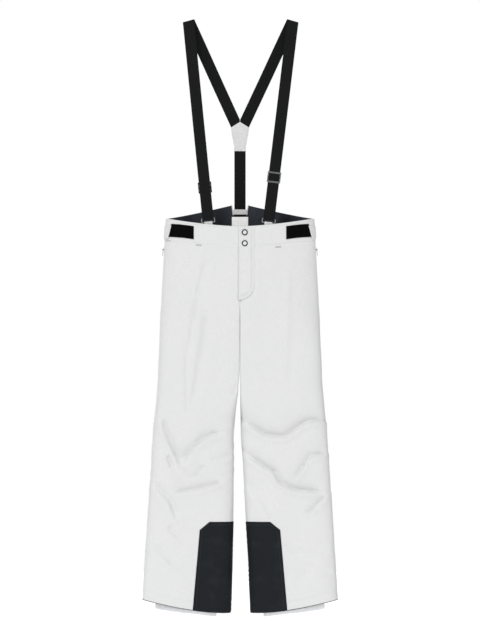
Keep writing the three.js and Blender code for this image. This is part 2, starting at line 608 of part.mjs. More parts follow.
// A ladder slide: bars in front of the strap at its top and foot, and one behind the strap between them.
function adjuster(b) {
  const frame = braceFrame(b, -ADJUSTER_DROP[b.name]);
  const [tall, rail, bar] = [ADJUSTER_HALF, ADJUSTER_RAIL, ADJUSTER_BAR];
  const half = STRAP_WIDTH / 2 + 2 * CLEAR + rail;
  const near = STRAP / 2 + CLEAR;
  const far = near + ADJUSTER_WALL;
  add(`adjuster_${b.name}`, "metal", join(
    block(-half, half, -far, -near, tall - bar, tall),
    block(-half, half, -far, -near, -tall, -tall + bar),
    block(-half, half, near, far, -bar / 2, bar / 2),
    block(-half, -half + rail, -far, far, -tall, tall),
    block(half - rail, half, -far, far, -tall, tall),
  ), frame);
}

function backStrapAndYoke() {
  const yokeFoot = -YOKE_TOP - YOKE_HEIGHT;
  const seam = 10; // the back strap reaches this far into the yoke
  add("back_strap", "webbing", block(-STRAP_WIDTH / 2, STRAP_WIDTH / 2,
    BACK_STRAP_Y - STRAP / 2, BACK_STRAP_Y + STRAP / 2, NOTCH_LEVEL - SHORTEN, yokeFoot + seam));
  const half = STRAP_WIDTH / 2 + CLEAR;
  const rightSide = [[half, yokeFoot], [half, yokeFoot + seam], [0.9 * YOKE_HALF, -YOKE_TOP - YOKE_WAIST],
    [YOKE_HALF, -YOKE_TOP - YOKE_SHOULDER]];
  const leftSide = rightSide.map(([x, z]) => [-x, z]).reverse();
  const plate = () => prism([...rightSide, [0, -YOKE_TOP], ...leftSide], YOKE_WALL).rotateX(Math.PI / 2);
  add("yoke_front", "shell", plate().translate(0, BACK_STRAP_Y - STRAP / 2 - CLEAR, 0));
  add("yoke_back", "shell", plate().translate(0, BACK_STRAP_Y + STRAP / 2 + CLEAR + YOKE_WALL, 0));
}

// ---------- Fly ----------
// X across, Y inwards from the shell's outside, Z up the fly from its foot.
function flyFrame() {
  const frame = new THREE.Group();
  frame.position.set(0, -along(FRONT_DEPTH, FLY_FOOT) - SEAM_GAP / 2, FLY_FOOT);
  frame.rotation.x = -FLY_LEAN;
  trousers.add(frame);
  return frame;
}

function flyZip(frame) {
  const inner = COIL_GAP / 2;
  const outer = FLY_SLOT / 2 - SLOT_CLEAR;
  const coil = 2.4;
  const half = [[inner, 0.5], [coil, 0.5], [coil, 1.7], [outer, 1.7], [outer, 2.3], [inner, 2.3]];
  for (const [side, name] of [[1, "left"], [-1, "right"]]) {
    const tape = prism(half, FLY_ZIP_TOP - FLY_ZIP_FOOT).translate(0, 0, FLY_ZIP_FOOT);
    add(`fly_zip_${name}`, "zip", tape, frame).scale.x = side;
  }
  // The slider rides over the coils, and its pull is flat because it lies under the closed flap.
  const top = FLY_ZIP_TOP - FLY_ZIP_FOOT;
  const [out, lip] = [4.2, 2.8];
  const channel = prism([[-out, -0.6], [out, -0.6], [out, 1.4], [lip, 1.4], [lip, 0.1], [-lip, 0.1],
    [-lip, 1.4], [-out, 1.4]], SLIDER_LENGTH);
  add("fly_slider", "metal", join(
    channel.translate(0, 0, top - SLIDER_LENGTH),
    block(-1.5, 1.5, -1.9, -0.5, top - 9, top - 2),
    block(-2.3, 2.3, -1.9, -0.9, top - 25, top - 6),
  ), frame);
}

function flyFlap(frame) {
  const height = FLY_LENGTH / Math.cos(FLY_LEAN) - 1;
  const near = -3; // the flap's free edge, past the centre line
  const far = near + FLAP_WIDTH;
  const snaps = { upper: height - SNAP_DROP, lower: height - SNAP_DROP - SNAP_PITCH };
  const shape = new THREE.Shape();
  shape.moveTo(near, height);
  shape.lineTo(near, 2);
  shape.quadraticCurveTo(far - 4, 6, far, FLAP_WIDTH);
  shape.lineTo(far, height);
  shape.closePath();
  const post = 3.6; // radius of the cap's post, which goes through the flap
  for (const z of Object.values(snaps)) {
    shape.holes.push(new THREE.Path().absarc(SNAP_X, z, post + CLEAR, 0, 2 * Math.PI, true));
  }
  const flap = new THREE.ExtrudeGeometry(shape, { depth: FLAP, bevelEnabled: false, curveSegments: 10 });
  add("fly_flap", "shell", flap.rotateX(Math.PI / 2).translate(0, -FLAP_GAP, 0), frame);

  const face = -(FLAP_GAP + FLAP);
  const r = SNAP_RADIUS;
  const cap = [[0, -4], [2.4, -4], [2.4, -2.6], [post, -2.6], [post, face - 0.3], [r, face - 0.3],
    [r, face - 0.9], [r - 0.6, face - 1.6], [r - 2.6, face - 1.6], [r - 3.4, face - 0.8], [0, face - 0.8]];
  const stud = [[0, -3.6], [1.5, -3.6], [1.8, -3.2], [1.8, -0.9], [5, -0.9], [5, -0.3], [0, -0.3]];
  for (const [place, z] of Object.entries(snaps)) {
    add(`snap_cap_${place}`, "snap", turned(cap, 16).translate(SNAP_X, 0, z), frame);
    add(`snap_stud_${place}`, "snap", turned(stud, 16).translate(SNAP_X, 0, z), frame);
  }
}

// A round piece about the Y axis, from [radius, y] points that start and end on the axis.
function turned(profile, segments) {
  const geometry = new THREE.LatheGeometry(profile.map(([x, y]) => new THREE.Vector2(x, y)), segments);
  geometry.deleteAttribute("normal");
  geometry.deleteAttribute("uv");
  const merged = mergeVertices(geometry, 1e-3);
  const { array } = merged.attributes.position;
  const at = (i) => new THREE.Vector3(array[3 * i], array[3 * i + 1], array[3 * i + 2]);
  const kept = [];
  for (let f = 0; f < merged.index.count; f += 3) {
    const corners = [0, 1, 2].map((k) => merged.index.getX(f + k));
    if (new Set(corners).size === 3) kept.push(...corners);
  }
  let volume = 0;
  for (let f = 0; f < kept.length; f += 3) volume += at(kept[f]).dot(at(kept[f + 1]).cross(at(kept[f + 2])));
  merged.setIndex(volume < 0 ? kept.reverse() : kept);
  return merged;
}

// ---------- Side pockets ----------
// X outwards from the side seam, Y back, Z up the seam from the pocket's foot. The right side is a mirror.
function pocket(side, name) {
  const frame = new THREE.Group();
  frame.scale.x = side;
  frame.position.set(side * along(OUTER_EDGE, POCKET_FOOT), 0, POCKET_FOOT);
  frame.rotation.y = -side * SEAM_LEAN;
  trousers.add(frame);
  const half = POCKET_SLOT / 2 - SLOT_CLEAR;
  const top = POCKET_LENGTH - 3;
  const [tape, coil] = [[-2.3, -1.7], 1.8];
  add(`pocket_zip_${name}`, "zip", prism([[tape[0], -half], [tape[1], -half], [tape[1], -coil], [-0.7, -coil],
    [-0.7, coil], [tape[1], coil], [tape[1], half], [tape[0], half]], top).translate(0, 0, 1.5), frame);
  const [out, lip] = [3.2, 2.2];
  const channel = prism([[-1.5, -out], [1, -out], [1, out], [-1.5, out], [-1.5, lip], [-0.3, lip],
    [-0.3, -lip], [-1.5, -lip]], SLIDER_LENGTH - 1);
  const [pinX, pinZ, pinRadius] = [3, top - 5, 0.7];
  const ear = (y0, y1) => block(0.8, 4.1, y0, y1, pinZ - 2 * pinRadius, pinZ + 2 * pinRadius);
  add(`pocket_slider_${name}`, "metal", join(
    channel.translate(0, 0, top - SLIDER_LENGTH + 1),
    ear(-3.1, -2),
    ear(2, 3.1),
    new THREE.CylinderGeometry(pinRadius, pinRadius, 5.6, 12).translate(pinX, 0, pinZ),
  ), frame);

  // The pull: a tongue that hangs from an eye on the pin.
  const [eye, tongue, width] = [1.85, 0.7, 3];
  const root = Math.acos(tongue / eye);
  const shape = new THREE.Shape();
  shape.moveTo(-tongue, -PULL_LENGTH);
  shape.lineTo(tongue, -PULL_LENGTH);
  shape.absarc(0, 0, eye, -root, Math.PI + root, false);
  shape.closePath();
  shape.holes.push(new THREE.Path().absarc(0, 0, pinRadius + 0.3, 0, 2 * Math.PI, true));
  const pull = new THREE.ExtrudeGeometry(shape, { depth: width, bevelEnabled: false, curveSegments: 8 });
  add(`pocket_pull_${name}`, "metal", pull.rotateX(Math.PI / 2).translate(pinX, width / 2, pinZ), frame);
}

// ---------- Assembly ----------
for (const [side, name] of [[1, "left"], [-1, "right"]]) {
  waistband(side, name);
  leg(side, name);
  cuffGuard(side, name);
  gaiter(side, name);
  waistAdjuster(side, name);
  const b = brace(side, name);
  shoulderStrap(b);
  hook(b);
  adjuster(b);
  pocket(side, name);
}
linings();
backFittings();
backStrapAndYoke();
const front = flyFrame();
flyZip(front);
flyFlap(front);

export default trousers;
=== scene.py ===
import json
import math

import bmesh
import bpy
import numpy as np
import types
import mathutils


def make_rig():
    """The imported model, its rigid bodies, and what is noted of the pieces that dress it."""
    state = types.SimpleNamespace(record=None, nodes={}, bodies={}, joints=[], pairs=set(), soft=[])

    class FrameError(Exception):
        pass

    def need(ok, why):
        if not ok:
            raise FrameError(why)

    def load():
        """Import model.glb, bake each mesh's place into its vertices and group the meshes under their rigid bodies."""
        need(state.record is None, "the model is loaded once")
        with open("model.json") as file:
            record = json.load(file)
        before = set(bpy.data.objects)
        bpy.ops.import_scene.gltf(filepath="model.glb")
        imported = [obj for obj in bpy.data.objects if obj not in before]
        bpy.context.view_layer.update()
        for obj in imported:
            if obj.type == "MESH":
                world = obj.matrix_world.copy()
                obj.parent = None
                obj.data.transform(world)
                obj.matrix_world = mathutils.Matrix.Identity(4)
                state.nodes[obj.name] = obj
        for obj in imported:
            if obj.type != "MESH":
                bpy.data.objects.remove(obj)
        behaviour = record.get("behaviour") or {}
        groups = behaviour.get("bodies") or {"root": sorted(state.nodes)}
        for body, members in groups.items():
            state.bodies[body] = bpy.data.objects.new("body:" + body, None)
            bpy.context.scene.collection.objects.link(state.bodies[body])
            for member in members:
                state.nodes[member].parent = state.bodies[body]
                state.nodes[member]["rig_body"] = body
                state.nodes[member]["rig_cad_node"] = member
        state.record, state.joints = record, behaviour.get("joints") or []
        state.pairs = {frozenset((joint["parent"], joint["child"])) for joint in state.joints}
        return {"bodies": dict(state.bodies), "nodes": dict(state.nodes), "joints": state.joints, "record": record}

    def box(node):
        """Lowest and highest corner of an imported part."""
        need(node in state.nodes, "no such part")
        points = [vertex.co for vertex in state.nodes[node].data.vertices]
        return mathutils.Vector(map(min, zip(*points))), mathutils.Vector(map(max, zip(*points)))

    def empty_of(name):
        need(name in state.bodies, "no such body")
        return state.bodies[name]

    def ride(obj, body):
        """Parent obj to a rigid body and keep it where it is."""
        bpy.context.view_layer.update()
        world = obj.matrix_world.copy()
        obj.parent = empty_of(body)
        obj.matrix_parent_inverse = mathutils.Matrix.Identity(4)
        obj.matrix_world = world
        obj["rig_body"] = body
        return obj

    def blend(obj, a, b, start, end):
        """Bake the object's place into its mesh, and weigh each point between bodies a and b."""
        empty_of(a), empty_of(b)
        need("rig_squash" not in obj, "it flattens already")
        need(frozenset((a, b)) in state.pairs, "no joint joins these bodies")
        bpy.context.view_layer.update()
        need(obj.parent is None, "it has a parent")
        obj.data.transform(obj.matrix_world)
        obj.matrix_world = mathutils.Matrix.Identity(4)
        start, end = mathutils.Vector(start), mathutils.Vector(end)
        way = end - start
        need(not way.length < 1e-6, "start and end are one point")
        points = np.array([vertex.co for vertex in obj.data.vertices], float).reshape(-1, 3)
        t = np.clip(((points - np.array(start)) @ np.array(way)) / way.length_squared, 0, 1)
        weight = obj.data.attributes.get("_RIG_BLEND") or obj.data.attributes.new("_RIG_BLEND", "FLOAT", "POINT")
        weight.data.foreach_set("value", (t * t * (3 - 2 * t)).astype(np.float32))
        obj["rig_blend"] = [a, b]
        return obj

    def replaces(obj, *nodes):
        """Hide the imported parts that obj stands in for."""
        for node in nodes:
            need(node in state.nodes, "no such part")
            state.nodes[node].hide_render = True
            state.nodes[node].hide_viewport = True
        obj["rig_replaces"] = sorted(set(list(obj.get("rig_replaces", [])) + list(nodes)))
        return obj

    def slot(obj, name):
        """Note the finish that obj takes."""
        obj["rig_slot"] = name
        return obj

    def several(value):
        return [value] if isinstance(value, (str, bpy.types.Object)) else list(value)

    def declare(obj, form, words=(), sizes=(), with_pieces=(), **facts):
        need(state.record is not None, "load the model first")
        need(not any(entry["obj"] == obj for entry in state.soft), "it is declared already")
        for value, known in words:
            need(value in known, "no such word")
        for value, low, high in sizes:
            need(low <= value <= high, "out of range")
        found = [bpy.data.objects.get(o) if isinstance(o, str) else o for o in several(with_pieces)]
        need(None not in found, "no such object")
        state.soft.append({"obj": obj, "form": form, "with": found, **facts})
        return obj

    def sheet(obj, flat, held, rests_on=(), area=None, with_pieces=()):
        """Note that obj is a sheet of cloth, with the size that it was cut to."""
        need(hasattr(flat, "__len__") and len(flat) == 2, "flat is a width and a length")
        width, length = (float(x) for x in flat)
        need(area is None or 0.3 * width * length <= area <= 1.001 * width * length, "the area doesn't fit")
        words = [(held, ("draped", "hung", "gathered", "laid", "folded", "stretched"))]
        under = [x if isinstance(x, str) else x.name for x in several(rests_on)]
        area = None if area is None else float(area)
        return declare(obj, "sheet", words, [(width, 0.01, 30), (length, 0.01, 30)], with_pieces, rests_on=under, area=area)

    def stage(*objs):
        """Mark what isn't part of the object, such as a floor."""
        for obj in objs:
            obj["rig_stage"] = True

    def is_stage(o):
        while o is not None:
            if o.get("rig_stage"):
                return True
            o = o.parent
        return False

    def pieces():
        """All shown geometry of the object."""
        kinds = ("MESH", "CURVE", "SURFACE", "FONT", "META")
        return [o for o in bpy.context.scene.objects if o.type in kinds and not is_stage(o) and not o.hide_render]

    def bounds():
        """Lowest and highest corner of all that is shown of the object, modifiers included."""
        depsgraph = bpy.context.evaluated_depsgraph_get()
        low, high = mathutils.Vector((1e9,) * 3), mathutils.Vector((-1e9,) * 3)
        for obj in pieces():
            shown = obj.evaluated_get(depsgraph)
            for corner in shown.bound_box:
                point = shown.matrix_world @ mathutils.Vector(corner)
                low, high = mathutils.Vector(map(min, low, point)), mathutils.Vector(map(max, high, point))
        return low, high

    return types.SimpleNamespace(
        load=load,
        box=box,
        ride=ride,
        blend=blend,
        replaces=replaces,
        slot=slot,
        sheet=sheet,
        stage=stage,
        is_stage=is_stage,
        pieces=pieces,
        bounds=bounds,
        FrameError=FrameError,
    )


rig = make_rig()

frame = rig.load()
CAD_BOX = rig.bounds()

# Lengths are in millimetres in every formula, and become metres where a mesh is made.
# X is the wearer's left, -Y the front and Z up, from the line where the braces hang.
MM = 0.001
SIDES = {"left": 1, "right": -1}

# ---------- Sizes, as in the CAD source ----------
SIDE_TOP = -535.0
CROTCH = -814.0
KNEE = -1185.0
HEM_SIDE = -1580.0
HEM_DIP = 37.0
HEM_INNER = HEM_SIDE - HEM_DIP
WAIST_HALF = 204.0
HEM_HALF = 269.0
HEM_GAP = 30.0
FRONT_DIP = 22.0
BACK_PEAK = 43.0
BAND_HEIGHT = 65.0
BAND_DIP = 15.0
BAND_FOOT = SIDE_TOP - BAND_HEIGHT
SECTION_POWER = 2.4
LEG_POWER = 4.2  # a leg's section is fuller than the trunk's
TOUCHING_POWER = 30.0  # and boxy on its inner half, where the legs touch
CROTCH_CURVE = 60.0
WALL = 2.5
BAND_WALL = 3.0
LINING = 1.0
CLEAR = 0.4

OUTER_EDGE = [(SIDE_TOP, WAIST_HALF), (CROTCH, 219), (-981, 226), (KNEE, 244), (HEM_INNER, 271.3)]
FRONT_DEPTH = [(SIDE_TOP, 48), (CROTCH, 58), (KNEE, 50), (HEM_INNER, 43)]
BACK_DEPTH = [(SIDE_TOP, 54), (CROTCH + 40, 66), (KNEE, 50), (HEM_INNER, 43)]
# The inseams hang differently: the right one is pulled outwards above the knee, the left one below it.
INNER_EDGE = {
    "right": [(CROTCH, 0), (-900, 0.2), (-960, 1.2), (-1025, 7), (-1072, 13), (-1122, 17.5),
              (-1320, 18.5), (-1420, 21), (HEM_INNER, 27)],
    "left": [(CROTCH, 0), (-900, 0.2), (-1000, 0.4), (-1120, 2.2), (-1160, 4), (-1205, 8), (-1280, 11.5),
             (-1346, 15), (-1411, 19), (-1494, 24), (HEM_INNER, 29)],
}

JOIN_LEVEL = -1000.0  # where a leg's upper and lower shell pieces meet
FLY_FOOT = -762.0
FLAP_NEAR, FLAP_FAR = -4.4, 40.0
POCKET_FOOT = -762.0
POCKET_LENGTH = 150.0
TAB_HEIGHT = 36.0
NOTCH_TOP, NOTCH_FOOT, NOTCH_DEPTH = 23.0, 18.0, 28.0
NOTCH_LEVEL = -525.0
STRAP_WIDTH = 31.2
STRAP = 1.5
PLY = 1.3  # the thinner webbing that goes round the rings
HOOK_X = {"left": 77.0, "right": 85.5}
FOLD_X = {"left": 142.5, "right": 139.0}
FOLD_RADIUS = 8.0
ADJUSTER_DROP = {"left": 423.0, "right": 451.0}
RING = 2.4
RING_HEIGHT = 13.0
YOKE_TOP = 267.0
YOKE_HALF = 25.0
YOKE_SHOULDER = 15.5
YOKE_LENGTH = 81.0
FLAP_LOW, FLAP_HIGH = 1.25, 4.2  # how far the flap stands off at its sewn edges, and over the zip
PIPING_RADIUS = 1.3
TAPE_GAP = 5.0


# ---------- Arithmetic ----------
def mix(a, b, share):
    return a + (b - a) * share


def smooth(low, high, value):
    """0 up to low, 1 from high on, and an S curve between them."""
    t = np.clip((value - low) / (high - low), 0, 1)
    return t * t * (3 - 2 * t)


def bump(value, width):
    """A bell of height 1 and half width `width` about 0."""
    return np.exp(-((value / width) ** 2))


def power(value):
    """The squared-off cosine or sine of a superellipse."""
    return np.sign(value) * np.abs(value) ** (2 / SECTION_POWER)


def along(stations, z):
    """A size read off a list of (height, size) from the top down, straight between them."""
    heights, sizes = np.array(stations, float).T
    return np.interp(-z, -heights, sizes)


def unit(vectors):
    return vectors / np.maximum(np.linalg.norm(vectors, axis=-1, keepdims=True), 1e-12)


def waves(a, b, seed, count=9):
    """A smooth random field from -1 to 1: a sum of plane waves of a and b with random turns and phases."""
    draw = np.random.default_rng(seed)
    total = np.zeros(np.broadcast(a, b).shape)
    for _ in range(count):
        turn, phase, rate = draw.uniform(0, 2 * math.pi, 2).tolist() + [draw.uniform(0.6, 1.5)]
        total += np.cos(rate * (a * math.cos(turn) + b * math.sin(turn)) + phase)
    return total / count ** 0.5 / 1.5


def running_length(points):
    """The length along a line of points, at each of them."""
    return np.concatenate([[0], np.cumsum(np.linalg.norm(np.diff(points, axis=0), axis=1))])


def read_off(values, run, at):
    """Rows of values at the lengths `at` of a line whose points lie at the lengths `run`."""
    return np.stack([np.interp(at, run, column) for column in np.asarray(values).T], -1)


def along_corners(points, count):
    """`count` points along straight runs between the corners, with the corners a little rounded."""
    corners = np.array(points, float)
    run = running_length(corners)
    line = read_off(corners, run, np.linspace(0, run[-1], count))
    for _ in range(2):
        line[1:-1] = (line[:-2] + 2 * line[1:-1] + line[2:]) / 4
    return line


def smooth_line(points, count):
    """A Catmull-Rom curve through the points, as `count` points."""
    p = np.array(points, float)
    p = np.vstack([2 * p[0] - p[1], p, 2 * p[-1] - p[-2]])
    place = np.linspace(0, len(p) - 3 - 1e-9, count)
    i = place.astype(int)
    t = (place - i)[:, None]
    a, b, c, d = p[i], p[i + 1], p[i + 2], p[i + 3]
    return 0.5 * (2 * b + (c - a) * t + (2 * a - 5 * b + 4 * c - d) * t**2
                  + (3 * b - a - 3 * c + d) * t**3)


def box_in_mm(node):
    return np.array(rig.box(node)) / MM


# ---------- The folds of the cloth ----------
# Each fold: depth, half width, and the line it follows, as |x| and z, on a side and a face (-1 front).
FOLDS = {
    ("left", -1): [
        (11, 6.0, [(6, -1092), (40, -1108), (68, -1127), (123, -1133), (156, -1108), (184, -1089),
                   (240, -1089)]),
        (11, 6.0, [(14, -1180), (32, -1192), (68, -1215), (96, -1229), (109, -1260), (153, -1279),
                   (232, -1286)]),
        (8.0, 5.5, [(146, -1250), (156, -1237), (175, -1210), (195, -1185), (240, -1180)]),
        (6.0, 4.5, [(184, -1350), (206, -1324), (236, -1298)]),
        (3.5, 9.0, [(20, -1262), (52, -1300), (92, -1352)]),
        (-1.5, 12.0, [(134, -680), (130, -800), (124, -980)]),
        (3.0, 12.0, [(118, -1420), (160, -1450), (250, -1452)]),
        (3.0, 12.0, [(160, -1520), (200, -1500), (255, -1510)]),
    ],
    ("right", -1): [
        (8.5, 6.0, [(214, -1084), (204, -1119), (196, -1138), (171, -1191), (158, -1214)]),
        (9.0, 6.5, [(52, -1118), (72, -1127), (99, -1136), (127, -1160), (149, -1188), (158, -1208)]),
        (6.0, 5.0, [(202, -1186), (194, -1200), (186, -1222)]),
        (5.5, 5.5, [(94, -1212), (105, -1221), (124, -1240), (134, -1250)]),
        (8.0, 5.5, [(50, -1256), (66, -1264), (119, -1276), (176, -1288)]),
        (6.5, 7.0, [(238, -1262), (223, -1276), (190, -1312), (174, -1356)]),
        (4.0, 8.0, [(240, -1430), (234, -1435), (206, -1462), (180, -1486)]),
        (4.0, 7.0, [(196, -1376), (190, -1392), (160, -1420)]),
        (-3.0, 8.0, [(86, -612), (109, -671), (122, -725), (128, -768), (139, -823), (149, -890)]),
        (2.4, 6.0, [(147, -880), (148, -960), (146, -1070)]),
        (-3.8, 10.0, [(104, -790), (112, -860), (126, -940), (140, -1040)]),
        (4.0, 4.5, [(8, -990), (13, -1004), (20, -1024)]),
        (3.5, 6.0, [(20, -1182), (60, -1196), (80, -1200)]),
    ],
    ("left", 1): [
        (9.0, 8.0, [(12, -1150), (90, -1172), (160, -1160), (238, -1140)]),
        (8.0, 8.0, [(12, -1205), (100, -1192), (170, -1214), (240, -1236)]),
        (5.0, 10.0, [(30, -880), (90, -850), (170, -842), (215, -852)]),
        (-2.5, 12.0, [(130, -660), (122, -760), (112, -1000)]),
        (4.0, 9.0, [(90, -1290), (150, -1340), (230, -1360)]),
    ],
    ("right", 1): [
        (8.0, 8.0, [(12, -1142), (84, -1160), (166, -1172), (238, -1150)]),
        (9.0, 8.0, [(12, -1212), (94, -1206), (160, -1192), (240, -1222)]),
        (5.0, 10.0, [(26, -872), (96, -856), (160, -838), (214, -856)]),
        (-2.6, 12.0, [(124, -650), (110, -780), (90, -1000)]),
        (4.0, 9.0, [(60, -1300), (130, -1322), (232, -1372)]),
    ],
}
LINE_SAMPLES = 41
FOLD_STRENGTH = 1.35


def fold_height(x, z, folds):
    """Creases as heights off the plain shell: the cloth sinks slowly towards a crease from above it and
    comes back out at once below it, with a low rounded ridge.
    above = -depth * exp(-distance / (2.8 widths)), below = -depth * bell(distance / (0.6 widths))."""
    flat = np.stack([x.ravel(), z.ravel()], -1)
    total = np.zeros(len(flat))
    for depth, width, line in folds:
        curve = along_corners(line, LINE_SAMPLES)
        start, run = curve[:-1], np.diff(curve, axis=0)
        away = flat[:, None] - start
        t = np.clip((away * run).sum(-1) / (run * run).sum(-1), 0, 1)
        away -= t[..., None] * run
        distance = np.linalg.norm(away, axis=-1)
        near = distance.argmin(1)
        pick = (np.arange(len(near)), near)
        turned = run[near, 0] * away[pick][:, 1] - run[near, 1] * away[pick][:, 0]
        down = -np.sign(turned) * np.sign(line[-1][0] - line[0][0]) * distance[pick]
        place = (near + t[pick]) / (LINE_SAMPLES - 1)
        taper = smooth(-0.06, 0.16, place) * smooth(1.06, 0.84, place)
        below = bump(down, 0.6 * width) - 0.25 * bump(down - 2.0 * width, 1.3 * width)
        above = np.exp(down / (2.8 * width))
        total -= FOLD_STRENGTH * depth * taper * np.where(down > 0, below, above)
    return total.reshape(x.shape)


# ---------- The shell's surface ----------
def trunk_share(z):
    """From leg (0) to trunk (1): a quarter circle over CROTCH_CURVE, so that the crotch is a saddle."""
    t = np.clip((z - CROTCH) / CROTCH_CURVE, 0, 1)
    return np.sqrt(1 - (1 - t) ** 2)


def plain_shell(name, turn, z):
    """The shell before its folds: superellipses of half width out - inner and of depth FRONT or BACK.
    turn goes from the front's centre (-1) over the side seam (0) to the back's centre (1)."""
    turn, z = np.broadcast_arrays(np.asarray(turn, float), np.asarray(z, float))
    u = np.abs(turn)
    face = np.where(turn < 0, -1.0, 1.0)
    inner = along(INNER_EDGE[name], z)
    round_leg = (1 + power(np.cos(math.pi * u))) / 2
    across = mix(round_leg, power(np.cos(math.pi * u / 2)), trunk_share(z))
    x = inner + (along(OUTER_EDGE, z) - inner) * across
    return np.stack([SIDES[name] * x, face * depth_at(name, face, x, z), z], -1)


def depth_at(name, face, x, z):
    """Half the thickness at a distance x from the centre line. A leg is an oval of its own, boxy where
    the legs touch; the trunk is one oval. The one runs into the other slowly, but at the centre line
    over the crotch's quarter circle only."""
    inner, outer = along(INNER_EDGE[name], z), along(OUTER_EDGE, z)
    depth = np.where(face < 0, along(FRONT_DEPTH, z), along(BACK_DEPTH, z))
    full = mix(SECTION_POWER, LEG_POWER, smooth(POCKET_FOOT - 4, POCKET_FOOT - 130, z))
    share = np.clip((x - inner) / (outer - inner), 0, 1)
    boxy = mix(full, TOUCHING_POWER, smooth(-1090, -930, z))
    exponent = np.where(share < 0.5, boxy, full)
    leg = np.maximum(0, 1 - np.abs(2 * share - 1) ** exponent) ** (1 / exponent)
    trunk = np.maximum(0, 1 - share**full) ** (1 / full)
    far = smooth(0, 0.35, share)
    t = np.clip((z - CROTCH + 150 * far) / (CROTCH_CURVE + 210 * far), 0, 1)
    return depth * mix(leg, trunk, mix(np.sqrt(1 - (1 - t) ** 2), t * t * (3 - 2 * t), far))


def shell_normal(name, turn, z):
    """The plain shell's outward normal, from its slopes along turn and z."""
    step = 1e-3
    slope = plain_shell(name, turn + step, z) - plain_shell(name, turn - step, z)
    rise = plain_shell(name, turn, z + 1) - plain_shell(name, turn, z - 1)
    normal = unit(np.cross(slope, rise))
    point = plain_shell(name, turn, z)
    middle = SIDES[name] * along(OUTER_EDGE, point[..., 2]) / 2
    outwards = normal[..., 0] * (point[..., 0] - middle) + normal[..., 1] * point[..., 1]
    return normal * np.where(outwards < 0, -1.0, 1.0)[..., None]


def seam_arc(turn):
    """Rough distances along the cloth to the side seam, and to the centre seam or inseam."""
    half_way_round = 245
    return half_way_round * np.abs(turn), half_way_round * (1 - np.abs(turn))


def slots(point):
    """Grooves that hold the pockets' zips and the fly's zip, with a welt on each side of a pocket's."""
    x, y, z = np.abs(point[..., 0]), point[..., 1], point[..., 2]
    run = smooth(POCKET_FOOT - 2, POCKET_FOOT, z) * smooth(POCKET_FOOT + 152, POCKET_FOOT + 149, z)
    beside = (x > 150) * run
    groove = -2.5 * smooth(5.2, 3.9, np.abs(y)) * beside
    welt = 0.9 * bump(np.abs(y) - 7.5, 2.0) * beside
    fly = -2.6 * smooth(4.9, 4.5, x) * (y < 0) * smooth(FLY_FOOT + 2, FLY_FOOT + 5, z)
    return groove + welt + fly + fly_lips(point[..., 0], y, z)


def fly_lips(x, y, z):
    """The cloth swells up to the flap's free edge on one side, and to its sewn edge on the other."""
    run = smooth(FLY_FOOT - 4, FLY_FOOT + 26, z) * (y < 0)
    free = 3.3 * smooth(-70, -5.2, x) * (x < -4.6)
    sewn = 1.0 * smooth(66, FLAP_FAR + 0.6, x) * (x > FLAP_FAR + 0.2)
    return run * (free + sewn)


def relief(name, turn, z):
    """How far the cloth stands off the plain shell: named folds, soft waves, puckers along the seams,
    the seams' own grooves, and the slots for the zips."""
    point = plain_shell(name, turn, z)
    x, y, level = np.abs(point[..., 0]), point[..., 1], point[..., 2]
    side_seam, centre_seam = seam_arc(turn)
    seed = 3 if name == "left" else 4
    front_folds, back_folds = (fold_height(x, level, FOLDS[name, face]) for face in (-1, 1))
    folds = np.where(y < 0, front_folds, back_folds)
    long_waves = 1.3 * waves(x / 22 + 7 * (y > 0), level / 150, seed)
    small_waves = 0.45 * waves(x / 9, level / 22, seed + 10)
    knee = bump(level - KNEE, 110)
    crumple = (2.2 if name == "right" else 1.4) * knee * waves(x / 20, level / 15, seed + 20)
    pulled = (bump(side_seam, 8) + bump(centre_seam, 11)) * waves(x, level / 90, seed + 30)
    pucker = 0.45 * pulled * np.sin(level / 2.3 + 2 * waves(x, level / 30, seed))
    in_slot = smooth(14, 26, side_seam) * smooth(20, 34, side_seam)
    beside_pocket = mix(in_slot, 1, smooth(-770, -800, level))
    clear_of_flap = np.maximum(smooth(46, 66, x), smooth(-765, -800, level)) * (y < 0) + (y >= 0)
    below_waist = smooth(BAND_FOOT - 6, BAND_FOOT - 90, level)
    calm = below_waist * beside_pocket * mix(0.15, 1, clear_of_flap)
    touching = smooth(-1080, -960, level) * smooth(CROTCH + 90, CROTCH + 40, level)
    calm = calm * mix(1, smooth(2, 40, centre_seam), touching)
    groove = -0.9 * bump(side_seam, 1.6) * (1 - slot_run(level))
    groove -= 0.8 * bump(centre_seam, 1.6) * (1 - touching)
    hem_stitch = -0.5 * bump(level - hem_level(turn) - 24, 2.4)
    cloth = folds + long_waves + small_waves + crumple + pucker
    return calm * cloth + groove + hem_stitch + slots(point)


def slot_run(z):
    """1 along the pocket's zip, where the side seam is open."""
    return smooth(POCKET_FOOT - 4, POCKET_FOOT, z) * smooth(POCKET_FOOT + 154, POCKET_FOOT + 150, z)


def garment(name, turn, z, out=0.0):
    """A point of the folded shell, moved out by `out`."""
    turn, z = np.broadcast_arrays(np.asarray(turn, float), np.asarray(z, float))
    lift = relief(name, turn, z) + out
    return plain_shell(name, turn, z) + shell_normal(name, turn, z) * lift[..., None]


def offset_shell(name, turn, z, out):
    """A point at a distance from the plain shell, for the pieces of the waist."""
    turn, z = np.broadcast_arrays(np.asarray(turn, float), np.asarray(z, float))
    return plain_shell(name, turn, z) + shell_normal(name, turn, z) * np.asarray(out, float)[..., None]


def trunk_turn(x, z):
    """turn at a distance x from the centre line, above the crotch."""
    share = np.clip(x / along(OUTER_EDGE, z), 0, 1)
    return np.arccos(share ** (SECTION_POWER / 2)) * 2 / math.pi


